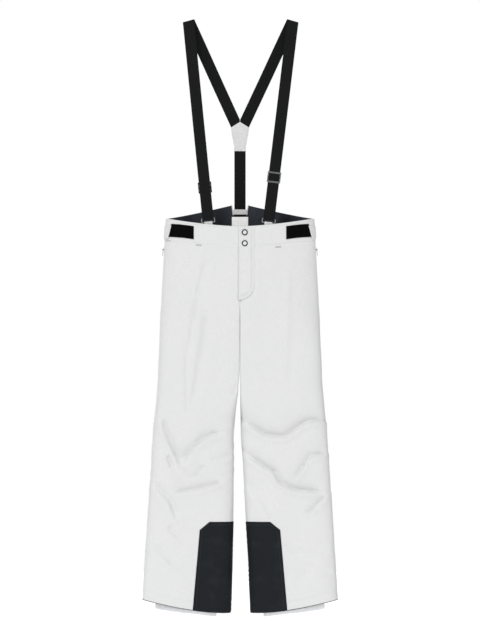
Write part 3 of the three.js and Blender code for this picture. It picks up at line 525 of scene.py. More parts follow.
def leg_turn(name, x, z):
    """turn at a distance x from the centre line, on a leg."""
    inner = along(INNER_EDGE[name], z)
    share = np.clip(2 * (x - inner) / (along(OUTER_EDGE, z) - inner) - 1, -1, 1)
    return np.arccos(np.sign(share) * np.abs(share) ** (SECTION_POWER / 2)) / math.pi


def hem_level(turn):
    """The hem drops by HEM_DIP from the outer edge to the inner edge, on a quarter sine."""
    across = (1 - power(np.cos(math.pi * np.abs(turn)))) / 2
    return HEM_SIDE - HEM_DIP * np.sin(math.pi / 2 * across)


def towards_centre(x):
    """0 at the side seams and 1 at the centre, on half a cosine."""
    return 0.5 + 0.5 * np.cos(math.pi * np.clip(np.abs(x) / WAIST_HALF, 0, 1))


def band_top(face, x):
    """The waist's top line: a dip in front and a straight rise to the notch behind."""
    back = SIDE_TOP + BACK_PEAK * (1 - np.clip(np.abs(x) / WAIST_HALF, 0, 1)) ** 1.15
    return np.where(np.asarray(face) < 0, SIDE_TOP - FRONT_DIP * towards_centre(x), back)


def waist_line(face, x):
    """The band's top line as it is sewn: in front it falls quickly from the sides, then flattens."""
    front = SIDE_TOP - FRONT_DIP * (1 - np.clip(np.abs(x) / WAIST_HALF, 0, 1) ** 1.6)
    return np.where(np.asarray(face) < 0, front, band_top(face, x))


def band_foot(face, x):
    """The seam under the band, which dips in front."""
    return BAND_FOOT - np.where(np.asarray(face) < 0, BAND_DIP * towards_centre(x), 0)


def notched(face, x, top):
    """The back's top line with the notch cut into it, which has steep straight sides."""
    steep = NOTCH_DEPTH / (NOTCH_TOP - NOTCH_FOOT)
    cut = NOTCH_LEVEL + np.maximum(0, np.abs(x) - NOTCH_FOOT) * steep
    return np.where(np.asarray(face) < 0, top, np.minimum(top, cut))


def waist_x(turn):
    """The distance from the centre line at a turn, at the waist."""
    return WAIST_HALF * power(np.cos(math.pi / 2 * np.clip(np.abs(turn), 0, 1)))


# ---------- Meshes ----------
def grid_faces(rows, cols, flip, round_rows, round_cols):
    """Quads between the neighbours of a grid; a round direction joins its last line to its first."""
    r = np.arange(rows if round_rows else rows - 1)
    c = np.arange(cols if round_cols else cols - 1)
    i, j = np.meshgrid(r, c, indexing="ij")
    below, beside = (i + 1) % rows, (j + 1) % cols
    corners = [i * cols + j, below * cols + j, below * cols + beside, i * cols + beside]
    quads = np.stack(corners, -1).reshape(-1, 4)
    return quads[:, ::-1] if flip else quads


def cloth_uv(grid):
    """Metres across and down the cloth, as running lengths along its rows and columns."""
    across = np.cumsum(np.linalg.norm(np.diff(grid, axis=1, prepend=grid[:, :1]), axis=2), axis=1)
    down = np.cumsum(np.linalg.norm(np.diff(grid, axis=0, prepend=grid[:1]), axis=2), axis=0)
    middle = grid.shape[1] // 2
    return np.stack([across - across[:, middle:middle + 1], down], -1).reshape(-1, 2) * MM


def linked(name, data):
    obj = bpy.data.objects.new(name, data)
    bpy.context.scene.collection.objects.link(obj)
    return obj


def rework(mesh, change):
    """Applies a bmesh operation to a mesh."""
    work = bmesh.new()
    work.from_mesh(mesh)
    change(work)
    work.to_mesh(mesh)
    work.free()


def recalculate(obj):
    """Turns the faces of a closed mesh outwards."""
    rework(obj.data, lambda work: bmesh.ops.recalc_face_normals(work, faces=work.faces))


def mesh_object(name, points, faces, looks, uv=None, face_look=None):
    """An object at the origin from points in millimetres. Doubled points are merged, and an edge that
    has one face is sharp."""
    mesh = bpy.data.meshes.new(name)
    mesh.from_pydata((np.asarray(points) * MM).tolist(), [], [list(map(int, f)) for f in faces])
    for look in looks:
        mesh.materials.append(look)
    if face_look is not None:
        mesh.polygons.foreach_set("material_index", np.asarray(face_look, np.int32))
    if uv is not None:
        corner = np.zeros(len(mesh.loops), np.int32)
        mesh.loops.foreach_get("vertex_index", corner)
        layer = mesh.uv_layers.new(name="UVMap")
        layer.data.foreach_set("uv", uv[corner].astype(np.float32).ravel())
    obj = linked(name, mesh)
    rework(mesh, lambda work: bmesh.ops.remove_doubles(work, verts=work.verts, dist=2e-7))
    mesh.shade_smooth()
    edge_of_corner = np.zeros(len(mesh.loops), np.int32)
    mesh.loops.foreach_get("edge_index", edge_of_corner)
    single = np.bincount(edge_of_corner, minlength=len(mesh.edges)) == 1
    sharp = mesh.attributes.get("sharp_edge") or mesh.attributes.new("sharp_edge", "BOOLEAN", "EDGE")
    sharp.data.foreach_set("value", single)
    return obj


def surface(name, grid, looks, flip=False, round_rows=False, round_cols=False, caps=False):
    """A grid of points as a mesh, with its cloth's UV map. caps closes the first and last row."""
    rows, cols = grid.shape[:2]
    faces = grid_faces(rows, cols, flip, round_rows, round_cols).tolist()
    if caps:
        first, last = list(range(cols)), list(range((rows - 1) * cols, rows * cols))
        faces += [first, last[::-1]] if not flip else [first[::-1], last]
    return mesh_object(name, grid.reshape(-1, 3), faces, looks, cloth_uv(grid))


def round_edges(obj, width, angle):
    """Bevels the edges that turn by more than an angle in degrees."""
    rim = obj.modifiers.new("rim", "BEVEL")
    rim.width = width * MM
    rim.segments = 2
    rim.limit_method = "ANGLE"
    rim.angle_limit = math.radians(angle)


def solid(obj, thickness, bevel=0.0, inner_look=0):
    """Gives a sheet its thickness inwards, and rounds its rim."""
    wall = obj.modifiers.new("thickness", "SOLIDIFY")
    wall.thickness = thickness * MM
    wall.offset = -1
    wall.material_offset = inner_look
    wall.material_offset_rim = 0
    if bevel:
        round_edges(obj, bevel, 50)
    return obj


def ribbon(name, path, flat, width, thickness, looks, rounding=0.3):
    """Webbing along a path: `flat` is the direction of its width at each point. Its section is a rounded
    rectangle, carried along the path without twisting."""
    path = np.asarray(path, float)
    flat = unit(np.broadcast_to(np.asarray(flat, float), path.shape))
    run = unit(np.gradient(path, axis=0))
    up = unit(np.cross(run, flat))
    half, tall = width / 2, thickness / 2
    r = min(rounding, tall)
    corner = [(half, 0), (half - 0.3 * r, tall - 0.3 * r), (half - r, tall)]
    lanes = [(half * s, tall) for s in (0.66, 0.33, 0, -0.33, -0.66)]
    top = corner + lanes + [(-w, t) for w, t in reversed(corner)]
    section = np.array(top + [(w, -t) for w, t in reversed(top[1:-1])])
    grid = path[:, None] + section[:, 0, None] * flat[:, None] + section[:, 1, None] * up[:, None]
    obj = surface(name, grid, looks, round_cols=True, caps=True)
    recalculate(obj)
    return obj


def tube(name, path, radius, looks, closed=False, sides=10):
    """A round cord of a radius (one, or one for each point) along a path."""
    path = np.asarray(path, float)
    if closed:
        run = unit(np.roll(path, -1, axis=0) - np.roll(path, 1, axis=0))
    else:
        run = unit(np.gradient(path, axis=0))
    guide = np.where(np.abs(run[:, 2:3]) < 0.9, np.array([[0, 0, 1.0]]), np.array([[0, 1.0, 0]]))
    a = unit(np.cross(run, guide))
    b = np.cross(run, a)
    angle = np.linspace(0, 2 * math.pi, sides, endpoint=False)
    thick = np.broadcast_to(np.asarray(radius, float), len(path))[:, None, None]
    spoke = np.cos(angle)[:, None] * a[:, None] + np.sin(angle)[:, None] * b[:, None]
    grid = path[:, None] + thick * spoke
    obj = surface(name, grid, looks, round_rows=closed, round_cols=True, caps=not closed)
    recalculate(obj)
    return obj


def joined(name, objects):
    """Several meshes as one piece."""
    with bpy.context.temp_override(active_object=objects[0], selected_editable_objects=objects):
        bpy.ops.object.join()
    objects[0].name = objects[0].data.name = name
    return objects[0]


def resampled(path, step):
    """Points a step apart along a path."""
    run = running_length(path)
    return read_off(path, run, np.arange(step / 2, run[-1], step))


def facing(path, y):
    """A row for stitches on a flat face towards -Y (y = -1) or +Y (y = 1)."""
    return path, np.tile((0, float(y), 0), (len(path), 1))


def stitches(name, lines, look, pitch=3.4, length=2.4, half_width=0.42, height=0.35):
    """Rows of thread: each stitch is a low closed lozenge that lies on the cloth. lines holds
    (path, outward normals) pairs."""
    share = np.array([-0.5, -0.28, 0.28, 0.5])
    wide = np.array([0.35, 1, 1, 0.35])
    sunk = 0.12
    ring = [(0, 1, 4, 3), (1, 2, 5, 4), (2, 0, 3, 5)]
    one = [tuple(3 * k + v for v in quad) for k in range(3) for quad in ring] + [(2, 1, 0), (9, 10, 11)]
    blocks, faces = [], []
    for path, normal in lines:
        run = running_length(path)
        at = np.arange(pitch / 2, run[-1] - length / 2, pitch)
        centre = read_off(path, run, at)
        up = unit(read_off(normal, run, at))
        thread = unit(read_off(path, run, at + 0.5) - centre)
        spine = centre[:, None] + (share * length)[:, None] * thread[:, None]
        aside = (half_width * wide)[:, None] * np.cross(up, thread)[:, None]
        top = spine + (height * wide)[:, None] * up[:, None]
        sides = [spine - aside - sunk * up[:, None], top, spine + aside - sunk * up[:, None]]
        first = sum(len(b) for b in blocks)
        blocks.append(np.stack(sides, 2).reshape(-1, 3))
        faces += [tuple(first + 12 * i + v for v in f) for i in range(len(at)) for f in one]
    obj = mesh_object(name, np.concatenate(blocks), faces, [look])
    recalculate(obj)
    return obj


# ---------- Shader maths ----------
class Value:
    """A number in a material; arithmetic on it adds Math nodes."""

    def __init__(self, paint, socket):
        self.paint, self.socket = paint, socket

    def _math(self, operation, *values):
        return self.paint.node("Math", {"operation": operation}, *values)

    def __add__(self, other):
        return self._math("ADD", self, other)

    def __rsub__(self, other):
        return self._math("SUBTRACT", other, self)

    def __mul__(self, other):
        return self._math("MULTIPLY", self, other)

    def sine(self):
        return self._math("SINE", self)

    def between(self, low, high):
        """0 at low, 1 at high, and clamped."""
        return self.paint.node("MapRange", {}, self, low, high, 0.0, 1.0)

    __radd__ = __add__
    __rmul__ = __mul__


class Paint:
    """One material with a Principled shader."""

    def __init__(self, name, **constants):
        self.material = bpy.data.materials.new(name)
        self.material.use_nodes = True
        self.tree = self.material.node_tree
        self.shader = self.tree.nodes["Principled BSDF"]
        for socket, number in constants.items():
            self.shader.inputs[socket.replace("_", " ")].default_value = number
        self.heights = None

    def node(self, kind, settings, *values, output=None, **named):
        """Adds a node, sets it up, fills its sockets in order or by name, and gives an output, which is
        the first that is in use if none is named."""
        node = self.tree.nodes.new("ShaderNode" + kind)
        for key, setting in settings.items():
            setattr(node, key, setting)
        for socket, value in zip(node.inputs, values):
            self.fill(socket, value)
        for key, value in named.items():
            self.fill(node.inputs[key.replace("_", " ")], value)
        if output is None:
            return Value(self, next(o for o in node.outputs if o.enabled))
        return Value(self, node.outputs[output])

    def fill(self, socket, value):
        if isinstance(value, Value):
            self.tree.links.new(value.socket, socket)
        elif value is not None:
            socket.default_value = value

    def coordinates(self, kind):
        return self.node("TexCoord", {}, output=kind)

    def cloth(self):
        """Metres across and down the cloth."""
        place = self.coordinates("UV")
        return [self.node("SeparateXYZ", {}, place, output=axis) for axis in "XY"]

    def noise(self, scale, detail=2.0, roughness=0.5, kind="Object", stretch=(1, 1, 1)):
        place = self.coordinates(kind)
        if stretch != (1, 1, 1):
            place = self.node("Mapping", {}, place, Scale=stretch)
        return self.node("TexNoise", {}, Vector=place, Scale=scale, Detail=detail, Roughness=roughness)

    def blend_colours(self, share, a, b):
        """Colour a where share is 0 and b where it is 1; the Mix node's colours are its last sockets."""
        a, b = (c if isinstance(c, Value) else (*c, 1) for c in (a, b))
        unused = [None] * 5
        return self.node("Mix", {"data_type": "RGBA"}, share, *unused, a, b)

    def height(self, value, distance, strength=1.0):
        """Adds a bump of a height in metres, over the bumps so far."""
        self.heights = self.node("Bump", {}, Strength=strength, Distance=distance, Height=value,
                                 Normal=self.heights)

    def finish(self, colour, roughness, metallic=None):
        self.fill(self.shader.inputs["Base Color"], colour)
        self.fill(self.shader.inputs["Roughness"], roughness)
        self.fill(self.shader.inputs["Metallic"], metallic)
        self.fill(self.shader.inputs["Normal"], self.heights)
        return self.material


def grey(level, tint=(1.0, 1.0, 1.0)):
    """A linear colour of that sRGB level from 0 to 255."""
    s = level / 255
    linear = s / 12.92 if s <= 0.04045 else ((s + 0.055) / 1.055) ** 2.4
    return tuple(linear * t for t in tint)


def waves_of(value, pitch):
    """sin of a length in metres, one turn each pitch."""
    return (value * (2 * math.pi / pitch)).sine()


def coated_weave():
    """The shell: a fine plain weave under a matt coating, with slubs, faint mottling and soft creasing."""
    p = Paint("shell_weave", Specular_IOR_Level=0.35)
    u, v = p.cloth()
    weave = waves_of(u, 0.0011) * waves_of(v, 0.0011)
    slub = p.noise(900, 1.0, 0.5, "UV", (0.05, 1, 1)) + p.noise(900, 1.0, 0.5, "UV", (1, 0.05, 1))
    crinkle = p.noise(120, 4.0, 0.6)
    mottle = p.noise(14, 3.0, 0.55)
    p.height(weave, 0.00006, 0.5)
    p.height(slub, 0.00012, 0.6)
    p.height(crinkle, 0.0006, 0.35)
    shade = (slub * 0.5).between(0.36, 0.64)
    thread = p.blend_colours(shade, grey(217), grey(225))
    patchy = p.blend_colours(mottle.between(0.35, 0.65) * 0.5, thread, grey(219, (0.99, 1.0, 1.01)))
    return p.finish(patchy, 0.62 + mottle * 0.18)


def guard_weave():
    """The scuff guards: heavy blue-black plain weave with a hard dull coating."""
    p = Paint("guard_weave", Specular_IOR_Level=0.12)
    u, v = p.cloth()
    basket = waves_of(u, 0.0022) * waves_of(v, 0.0022)
    grain = p.noise(700, 2.0, 0.6)
    rub = p.noise(22, 3.0, 0.6)
    p.height(basket, 0.00016, 0.7)
    p.height(grain, 0.0002, 0.4)
    low, high = grey(22, (0.8, 1.0, 1.25)), grey(38, (0.85, 1.0, 1.2))
    dark = p.blend_colours(basket.between(-0.6, 0.8), low, high)
    colour = p.blend_colours(rub.between(0.5, 0.8) * 0.5, dark, grey(48, (0.9, 1.0, 1.12)))
    return p.finish(colour, 0.55 + grain * 0.25)


def elastic_webbing():
    """The braces: black elastic with cross ribs and finer lengthwise rows."""
    p = Paint("elastic_webbing", Specular_IOR_Level=0.1)
    u, v = p.cloth()
    ribs = waves_of(v, 0.0018) * 0.5 + 0.5
    rows = waves_of(u, 0.0012) * 0.5 + 0.5
    fuzz = p.noise(1300, 2.0, 0.6)
    height = ribs * (0.6 + rows * 0.4)
    p.height(height, 0.0003, 0.8)
    p.height(fuzz, 0.00015, 0.5)
    colour = p.blend_colours(height.between(0.1, 0.9), grey(14), grey(33, (0.94, 1.0, 1.08)))
    return p.finish(colour, 0.7 + fuzz * 0.2)


def loop_pile():
    """The soft half of the hook-and-loop: deep black knotted pile."""
    p = Paint("loop_pile", Specular_IOR_Level=0.03)
    knots = p.node("TexVoronoi", {}, Vector=p.coordinates("Object"), Scale=900.0)
    tangle = p.noise(1500, 3.0, 0.7)
    p.height(1 - knots, 0.0006, 0.9)
    p.height(tangle, 0.0004, 0.8)
    colour = p.blend_colours(tangle.between(0.35, 0.75), grey(3), grey(20))
    return p.finish(colour, 0.92)


def gaiter_taffeta():
    """The inner gaiters: thin light grey taffeta with a square ripstop grid, and a faint white glow, which is painted
    light that lifts them out of the shade under the hems.
    """
    p = Paint("gaiter_ripstop", Sheen_Weight=0.1, Emission_Color=(1, 1, 1, 1), Emission_Strength=0.08)
    u, v = p.cloth()
    lines = (waves_of(u, 0.005).between(0.93, 0.99) + waves_of(v, 0.005).between(0.93, 0.99)) * 0.5
    cloud = p.noise(40, 3.0, 0.55)
    p.height(lines, 0.0001, 0.8)
    p.height(cloud, 0.0012, 0.4)
    low, high = grey(226, (0.98, 1, 1.03)), grey(238, (0.99, 1, 1.02))
    base = p.blend_colours(cloud.between(0.3, 0.7), low, high)
    colour = p.blend_colours(lines * 0.35, base, grey(245))
    return p.finish(colour, 0.5 + cloud * 0.2)


def cast_metal(name, low, high, roughness):
    """Plated zinc: tumbled grain and fine scratches."""
    p = Paint(name)
    grain = p.noise(900, 3.0, 0.6)
    scratch = p.noise(500, 2.0, 0.6, "Object", (1, 1, 12))
    p.height(grain, 0.00006, 0.5)
    p.height(scratch, 0.00004, 0.4)
    colour = p.blend_colours(grain.between(0.3, 0.7), grey(low), grey(high, (0.98, 1, 1.02)))
    return p.finish(colour, roughness + scratch * 0.18, 1.0)


def finish(name, noise, uneven, low, high, rough, weave=None, woven=None, span=(0.3, 0.7), **constants):
    """A plain finish: a cloud of noise shades its colour from low to high and its roughness from
    rough[0] up, over a bump of the cloud (uneven) and of a weave (woven), each a height and a strength.
    The weave is a function of the metres across and down the cloth."""
    p = Paint(name, **constants)
    if weave:
        p.height(weave(*p.cloth()), *woven)
    cloud = p.noise(*noise)
    if uneven:
        p.height(cloud, *uneven)
    colour = p.blend_colours(cloud.between(*span), low, high)
    return p.finish(colour, rough[0] + cloud * rough[1])


def thread(name, low, high):
    """Twisted polyester thread: plies across it and a slight shine."""
    return finish(name, (2600, 1.0, 0.5), (0.0001, 0.6), grey(low), grey(high), (0.45, 0.2), Sheen_Weight=0.1)


def taffeta_rib(u, v):
    return waves_of(v, 0.0012) * 0.5 + waves_of(u, 0.0009) * 0.3


SHELL = coated_weave()
GUARD = guard_weave()
WEBBING = elastic_webbing()
PILE = loop_pile()
GAITER = gaiter_taffeta()
NICKEL = cast_metal("nickel_plate", 150, 172, 0.34)
STEEL = cast_metal("steel_plate", 112, 134, 0.36)
GUNMETAL = cast_metal("gunmetal_plate", 52, 70, 0.36)
WHITE_THREAD = thread("white_thread", 205, 222)
GREY_THREAD = thread("grey_thread", 120, 150)
BLACK_THREAD = thread("black_thread", 24, 40)
# Dark blue-grey taffeta with a fine rib and a soft shimmer.
LINING_CLOTH = finish(
    "lining_taffeta", (30, 4.0, 0.6), (0.0015, 0.4), grey(36, (0.82, 0.98, 1.45)),
    grey(56, (0.85, 1.0, 1.35)), (0.5, 0.25), taffeta_rib, (0.00008, 0.6), Specular_IOR_Level=0.3)
# The label glows faintly white (emission 0.2). This is painted light that lifts it out of the shade inside the waist.
LABEL = finish(
    "label_satin", (60, 2.0, 0.5), (0.0004, 0.3), grey(240, (1, 1, 0.98)), grey(248, (1, 1, 0.985)),
    (0.42, 0.15), lambda u, v: waves_of(u + v * 0.5, 0.0008), (0.00002, 0.4),
    Emission_Color=(1, 1, 1, 1), Emission_Strength=0.2)
TAPE = finish(
    "zip_tape", (160, 2.0, 0.5), None, grey(196), grey(214), (0.7, 0.15),
    lambda u, v: waves_of(u + v, 0.0012), (0.0001, 0.7))
COIL = finish(
    "zip_coil", (400, 2.0, 0.5), (0.0001, 0.4), grey(186), grey(206), (0.32, 0.2), Coat_Weight=0.2)
# Black lacquer over metal, too dull to mirror anything.
BLACK_METAL = finish(
    "black_lacquer", (800, 2.0, 0.6), (0.00006, 0.4), grey(12), grey(26), (0.5, 0.2), Specular_IOR_Level=0.12)
ENAMEL = finish(
    "snap_enamel", (350, 3.0, 0.6), (0.00005, 0.4), grey(226), grey(216), (0.3, 0.15), span=(0.4, 0.8),
    Coat_Weight=0.5, Coat_Roughness=0.12)
# A dark grey cord along the underside of each hem, which makes a dark line between hem and gaiter.
HEM_DARK_CORD = finish(
    "hem_dark_cord", (500, 2.0, 0.6), None, grey(70, (0.96, 1, 1.05)), grey(96, (0.97, 1, 1.03)),
    (0.7, 0.15), lambda u, v: waves_of(u, 0.001), (0.0001, 0.6))


# ---------- Backdrop, lights and camera ----------
def camera():
    """A long lens square to the front, which frames 1.76 m of height."""
    lens = bpy.data.cameras.new("camera")
    distance, view_height, sensor = 12.0, 1.76, 36.0
    lens.sensor_width = sensor
    lens.lens = distance * sensor / view_height
    lens.clip_end = 100
    obj = linked("camera", lens)
    obj.location = (0, -distance, CROTCH * MM)
    obj.rotation_euler = (math.pi / 2, 0, 0)
    bpy.context.scene.camera = obj


def floor():
    """A white floor well below the trousers."""
    mesh = bpy.data.meshes.new("floor")
    size, level = 12.0, -2.2
    mesh.from_pydata([(-size, -size, level), (size, -size, level), (size, size, level), (-size, size, level)],
                     [], [(0, 1, 2, 3)])
    p = Paint("floor_paper", Emission_Color=(1, 1, 1, 1), Emission_Strength=0.22)
    mesh.materials.append(p.finish(p.blend_colours(p.noise(3, 2.0, 0.5), grey(250), grey(252)), 0.9))
    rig.stage(linked("floor", mesh))


def surround():
    """White all round: dim as a light, full white where the camera sees it."""
    world = bpy.data.worlds.new("surround")
    world.use_nodes = True
    nodes, links = world.node_tree.nodes, world.node_tree.links
    light, seen = nodes["Background"], nodes.new("ShaderNodeBackground")
    for background, strength in [(light, 0.37), (seen, 1.0)]:
        background.inputs["Color"].default_value = (1, 1, 1, 1)
        background.inputs["Strength"].default_value = strength
    mixed, path = nodes.new("ShaderNodeMixShader"), nodes.new("ShaderNodeLightPath")
    links.new(path.outputs["Is Camera Ray"], mixed.inputs[0])
    links.new(light.outputs[0], mixed.inputs[1])
    links.new(seen.outputs[0], mixed.inputs[2])
    links.new(mixed.outputs[0], nodes["World Output"].inputs[0])
    bpy.context.scene.world = world


def lamps():
    """A soft key from the upper left, a broad fill from the lower right and a light on the back."""
    rows = [("key", 1.55, 14, (42, 0, -26)), ("fill", 0.42, 60, (78, 0, 34)), ("back", 1.3, 40, (-60, 0, 20))]
    for name, energy, spread, turn in rows:
        sun = bpy.data.lights.new(name, "SUN")
        sun.energy = energy
        sun.angle = math.radians(spread)
        linked(name, sun).rotation_euler = [math.radians(a) for a in turn]


camera()
floor()
surround()
lamps()
bpy.context.scene.view_settings.view_transform = "Standard"


# ---------- Shell ----------
def shell_turns():
    """Columns round a shell half: even, and closer together at the centre seam."""
    u = np.concatenate([np.linspace(0, 0.985, 88), [0.9895, 0.993, 0.996, 0.998, 0.9992, 1]])
    return np.concatenate([-u[:0:-1], u])


def saddle_levels(count):
    """Heights over the crotch's round part, even in trunk_share."""
    share = np.linspace(1, 0, count)
    return CROTCH + CROTCH_CURVE * (1 - np.sqrt(1 - share**2))


def declare(obj, grid, held, *rests_on):
    """Says that a piece is cloth, with the flat width, length and area of its cut in metres."""
    across = np.linalg.norm(np.diff(grid, axis=1), axis=2).sum(1) * MM
    down = np.linalg.norm(np.diff(grid, axis=0), axis=2).sum(0) * MM
    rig.sheet(obj, flat=(float(across.max()), float(down.max())), area=float(across.mean() * down.mean()),
             held=held, rests_on=list(rests_on), with_pieces=())


HIP_BLEND = {name: dict(start=(0, 0, CROTCH * MM), end=(side * 0.075, 0, (CROTCH - 130) * MM))
             for name, side in SIDES.items()}
KNEE_BLEND = dict(start=(0, 0, -1.10), end=(0, 0, -1.27))


def shell_piece(name, part, z, rests_on):
    """One cloth round a leg at heights z, with the lining's colour inside."""
    grid = garment(name, shell_turns(), z)
    obj = surface(f"shell_{part}_{name}", grid, [SHELL, LINING_CLOTH], flip=SIDES[name] < 0)
    solid(obj, WALL, inner_look=1)
    declare(obj, grid, "hung", rests_on)
    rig.slot(obj, "shell")
    return obj, grid


def upper_shell(name):
    """Body and thigh in one cloth, from the waistband's seam to the join above the knee."""
    turns = shell_turns()
    top = band_foot(np.where(turns < 0, -1, 1), waist_x(turns))
    body = mix(top, CROTCH + CROTCH_CURVE, np.linspace(0, 1, 46)[:, None])
    saddle = saddle_levels(14)[1:, None] + 0 * turns
    thigh = np.linspace(CROTCH, JOIN_LEVEL, 58)[1:, None] + 0 * turns
    z = np.concatenate([body, saddle, thigh])
    obj, _ = shell_piece(name, "upper", z, f"waistband_{name}")
    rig.replaces(obj, f"body_front_{name}", f"body_back_{name}", f"thigh_front_{name}", f"thigh_back_{name}")
    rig.blend(obj, "trunk", f"thigh_{name}", **HIP_BLEND[name])


def lower_shell(name):
    """The leg below the join, down to the hem, and a dark grey cord along the hem's underside."""
    z = mix(JOIN_LEVEL, hem_level(shell_turns()), np.linspace(0, 1, 178)[:, None])
    obj, grid = shell_piece(name, "lower", z, f"shell_upper_{name}")
    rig.replaces(obj, f"shin_front_{name}", f"shin_back_{name}")
    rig.blend(obj, f"thigh_{name}", f"shin_{name}", **KNEE_BLEND)
    edge = tube(f"hem_dark_cord_{name}", grid[-1, :-1] + (0, 0, -0.5), 0.9, [HEM_DARK_CORD], closed=True, sides=8)
    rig.slot(edge, "gaiter")
    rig.ride(edge, f"shin_{name}")


def waistband(name):
    """The doubled band: a closed section carried round the waist, with a rolled top and the back's notch."""
    near_centre = np.linspace(0.87, 0.995, 60)
    u = np.concatenate([np.linspace(0, 0.86, 60), near_centre, [0.998, 1 - 1e-4]])
    turns = np.concatenate([-u[:0:-1], u])
    face = np.where(turns < 0, -1, 1)
    x = waist_x(turns)
    top = notched(face, x, waist_line(face, x))
    foot = band_foot(face, x) - 0.6
    section = [(-2.6, 0), (-0.2, 0), (0.15, 0.008), (0.4, 0.03), (0.5, 0.3), (0.5, 0.7), (0.3, 0.93),
               (-0.1, 0.975), (-0.6, 0.993), (-1.4, 1), (-2.3, 0.995), (-2.9, 0.97), (-3.0, 0.8), (-3.0, 0.4)]
    out, share = np.array(section).T
    z = mix(foot, top, share[:, None])
    lip = fly_lips(SIDES[name] * x, face, 0) * smooth(-2.9, -0.1, out[:, None])
    grid = offset_shell(name, turns + 0 * z, z, out[:, None] + lip + 0 * z)
    obj = surface(f"waistband_{name}", grid.transpose(1, 0, 2), [SHELL], round_cols=True, caps=True)
    recalculate(obj)
    declare(obj, grid[3:9], "stretched", f"shell_upper_{name}")
    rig.slot(obj, "shell")
    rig.replaces(obj, f"waistband_front_{name}", f"waistband_back_{name}")
    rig.ride(obj, "trunk")


def band_line(name, level):
    """A path round the outside of the band at a height given by level(face, x), with its normals."""
    u = np.linspace(0.004, 0.985, 90)
    turns = np.concatenate([-u[::-1], u])
    face = np.where(turns < 0, -1, 1)
    z = level(face, waist_x(turns))
    return offset_shell(name, turns, z, 0.45), shell_normal(name, turns, z)


def waist_stitching():
    """Topstitching round the band, and the bar tacks under it."""
    def near_foot(face, x):
        return band_foot(face, x) + 3

    def near_top(face, x):
        return notched(face, x, waist_line(face, x)) - 5

    lines = [band_line(name, level) for name in SIDES for level in (near_foot, near_top)]
    obj = stitches("waist_topstitching", lines, WHITE_THREAD)
    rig.slot(obj, "shell")
    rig.ride(obj, "trunk")
    tacks = []
    for name, x, level in [("right", 114, -609), ("left", 105, -614), ("right", 198, -597)]:
        z = level + np.linspace(-0.3, 0.3, 9)
        turn = -trunk_turn(np.linspace(x - 8, min(x + 8, 203.6), 9), z)
        tacks.append((offset_shell(name, turn, z, 0.6), shell_normal(name, turn, z)))
    obj = stitches("bar_tacks", tacks, GREY_THREAD, pitch=0.9, length=1.4, half_width=0.8, height=0.6)
    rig.slot(obj, "shell")
    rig.ride(obj, "trunk")


def seam_threads(name):
    """Rows of stitches on both sides of the side seam, and along the outer part of the hem."""
    def row(turn, z):
        turn = turn + 0 * z
        return garment(name, turn, z, 0.1), shell_normal(name, turn, z)

    above = np.arange(POCKET_FOOT - 12, JOIN_LEVEL, -4.0)
    below = np.arange(JOIN_LEVEL, HEM_SIDE + 4, -4.0)
    upper, lower = ([row(turn, z) for turn in (-0.022, 0.022)] for z in (above, below))
    obj = stitches(f"side_stitches_upper_{name}", upper, WHITE_THREAD)
    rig.slot(obj, "shell")
    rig.blend(obj, "trunk", f"thigh_{name}", **HIP_BLEND[name])
    obj = stitches(f"side_stitches_lower_{name}", lower, WHITE_THREAD)
    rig.slot(obj, "shell")
    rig.blend(obj, f"thigh_{name}", f"shin_{name}", **KNEE_BLEND)
    turns = np.linspace(-0.6, 0.6, 200)
    obj = stitches(f"hem_stitches_{name}", [row(turns, hem_level(turns) + 24)], WHITE_THREAD)
    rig.slot(obj, "shell")
    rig.ride(obj, f"shin_{name}")


# ---------- Linings, label and keeper ----------
def lining(name, side, low, high, node, slack=0.0):
    """A lining panel from turn low to high, inside the band's wall and down to 120 mm below the waist. It
    hangs in by up to `slack` below its top."""
    turns = np.linspace(low, high, 80)
    rows = np.linspace(0, 1, 34)[:, None]
    face, x = np.where(turns < 0, -1, 1), waist_x(turns)
    z = mix(notched(face, x, waist_line(face, x)) - 0.3, SIDE_TOP - 120, rows)
    loose = slack * smooth(0.1, 0.4, rows) * (0.5 + 0.5 * waves(turns * 26, z / 30, 31))
    grid = offset_shell(side, turns, z, -(BAND_WALL + CLEAR) - loose)
    obj = surface(name, grid, [LINING_CLOTH], flip=SIDES[side] < 0)
    solid(obj, LINING if slack else LINING / 2)
    declare(obj, grid, "hung", f"waistband_{side}")
    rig.slot(obj, "lining")
    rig.replaces(obj, node)
    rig.ride(obj, "trunk")


def notch_piping():
    """White piping down both sides of the notch at the back of the waist."""
    z = np.linspace(NOTCH_LEVEL, SIDE_TOP + BACK_PEAK * (1 - NOTCH_TOP / WAIST_HALF) + 0.4, 24)
    x = NOTCH_FOOT + (z - NOTCH_LEVEL) * (NOTCH_TOP - NOTCH_FOOT) / NOTCH_DEPTH
    for name, side in SIDES.items():
        y = plain_shell(name, trunk_turn(x, z), z)[:, 1] - BAND_WALL - CLEAR - LINING - 0.2
        obj = tube(f"notch_piping_{name}", np.stack([side * x, y, z], -1), PIPING_RADIUS, [SHELL])
        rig.slot(obj, "shell")
        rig.ride(obj, "trunk")


def keeper():
    """The white loop over the back strap's foot, with sewn ends."""
    low, high = box_in_mm("back_keeper")
    front, back, half = low[1] + 0.6, high[1] - 0.4, high[0]
    right = [(12, front), (half - 4.6, front + 0.1), (half - 2.5, back - 0.1), (half, back)]
    line = smooth_line([(-x, y) for x, y in reversed(right)] + right, 60)
    path = np.insert(line, 2, (low[2] + high[2]) / 2, axis=1)
    obj = ribbon("back_keeper_loop", path, (0, 0, 1), high[2] - low[2], 1.0, [SHELL])
    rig.slot(obj, "shell")
    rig.replaces(obj, "back_keeper")
    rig.ride(obj, "trunk")


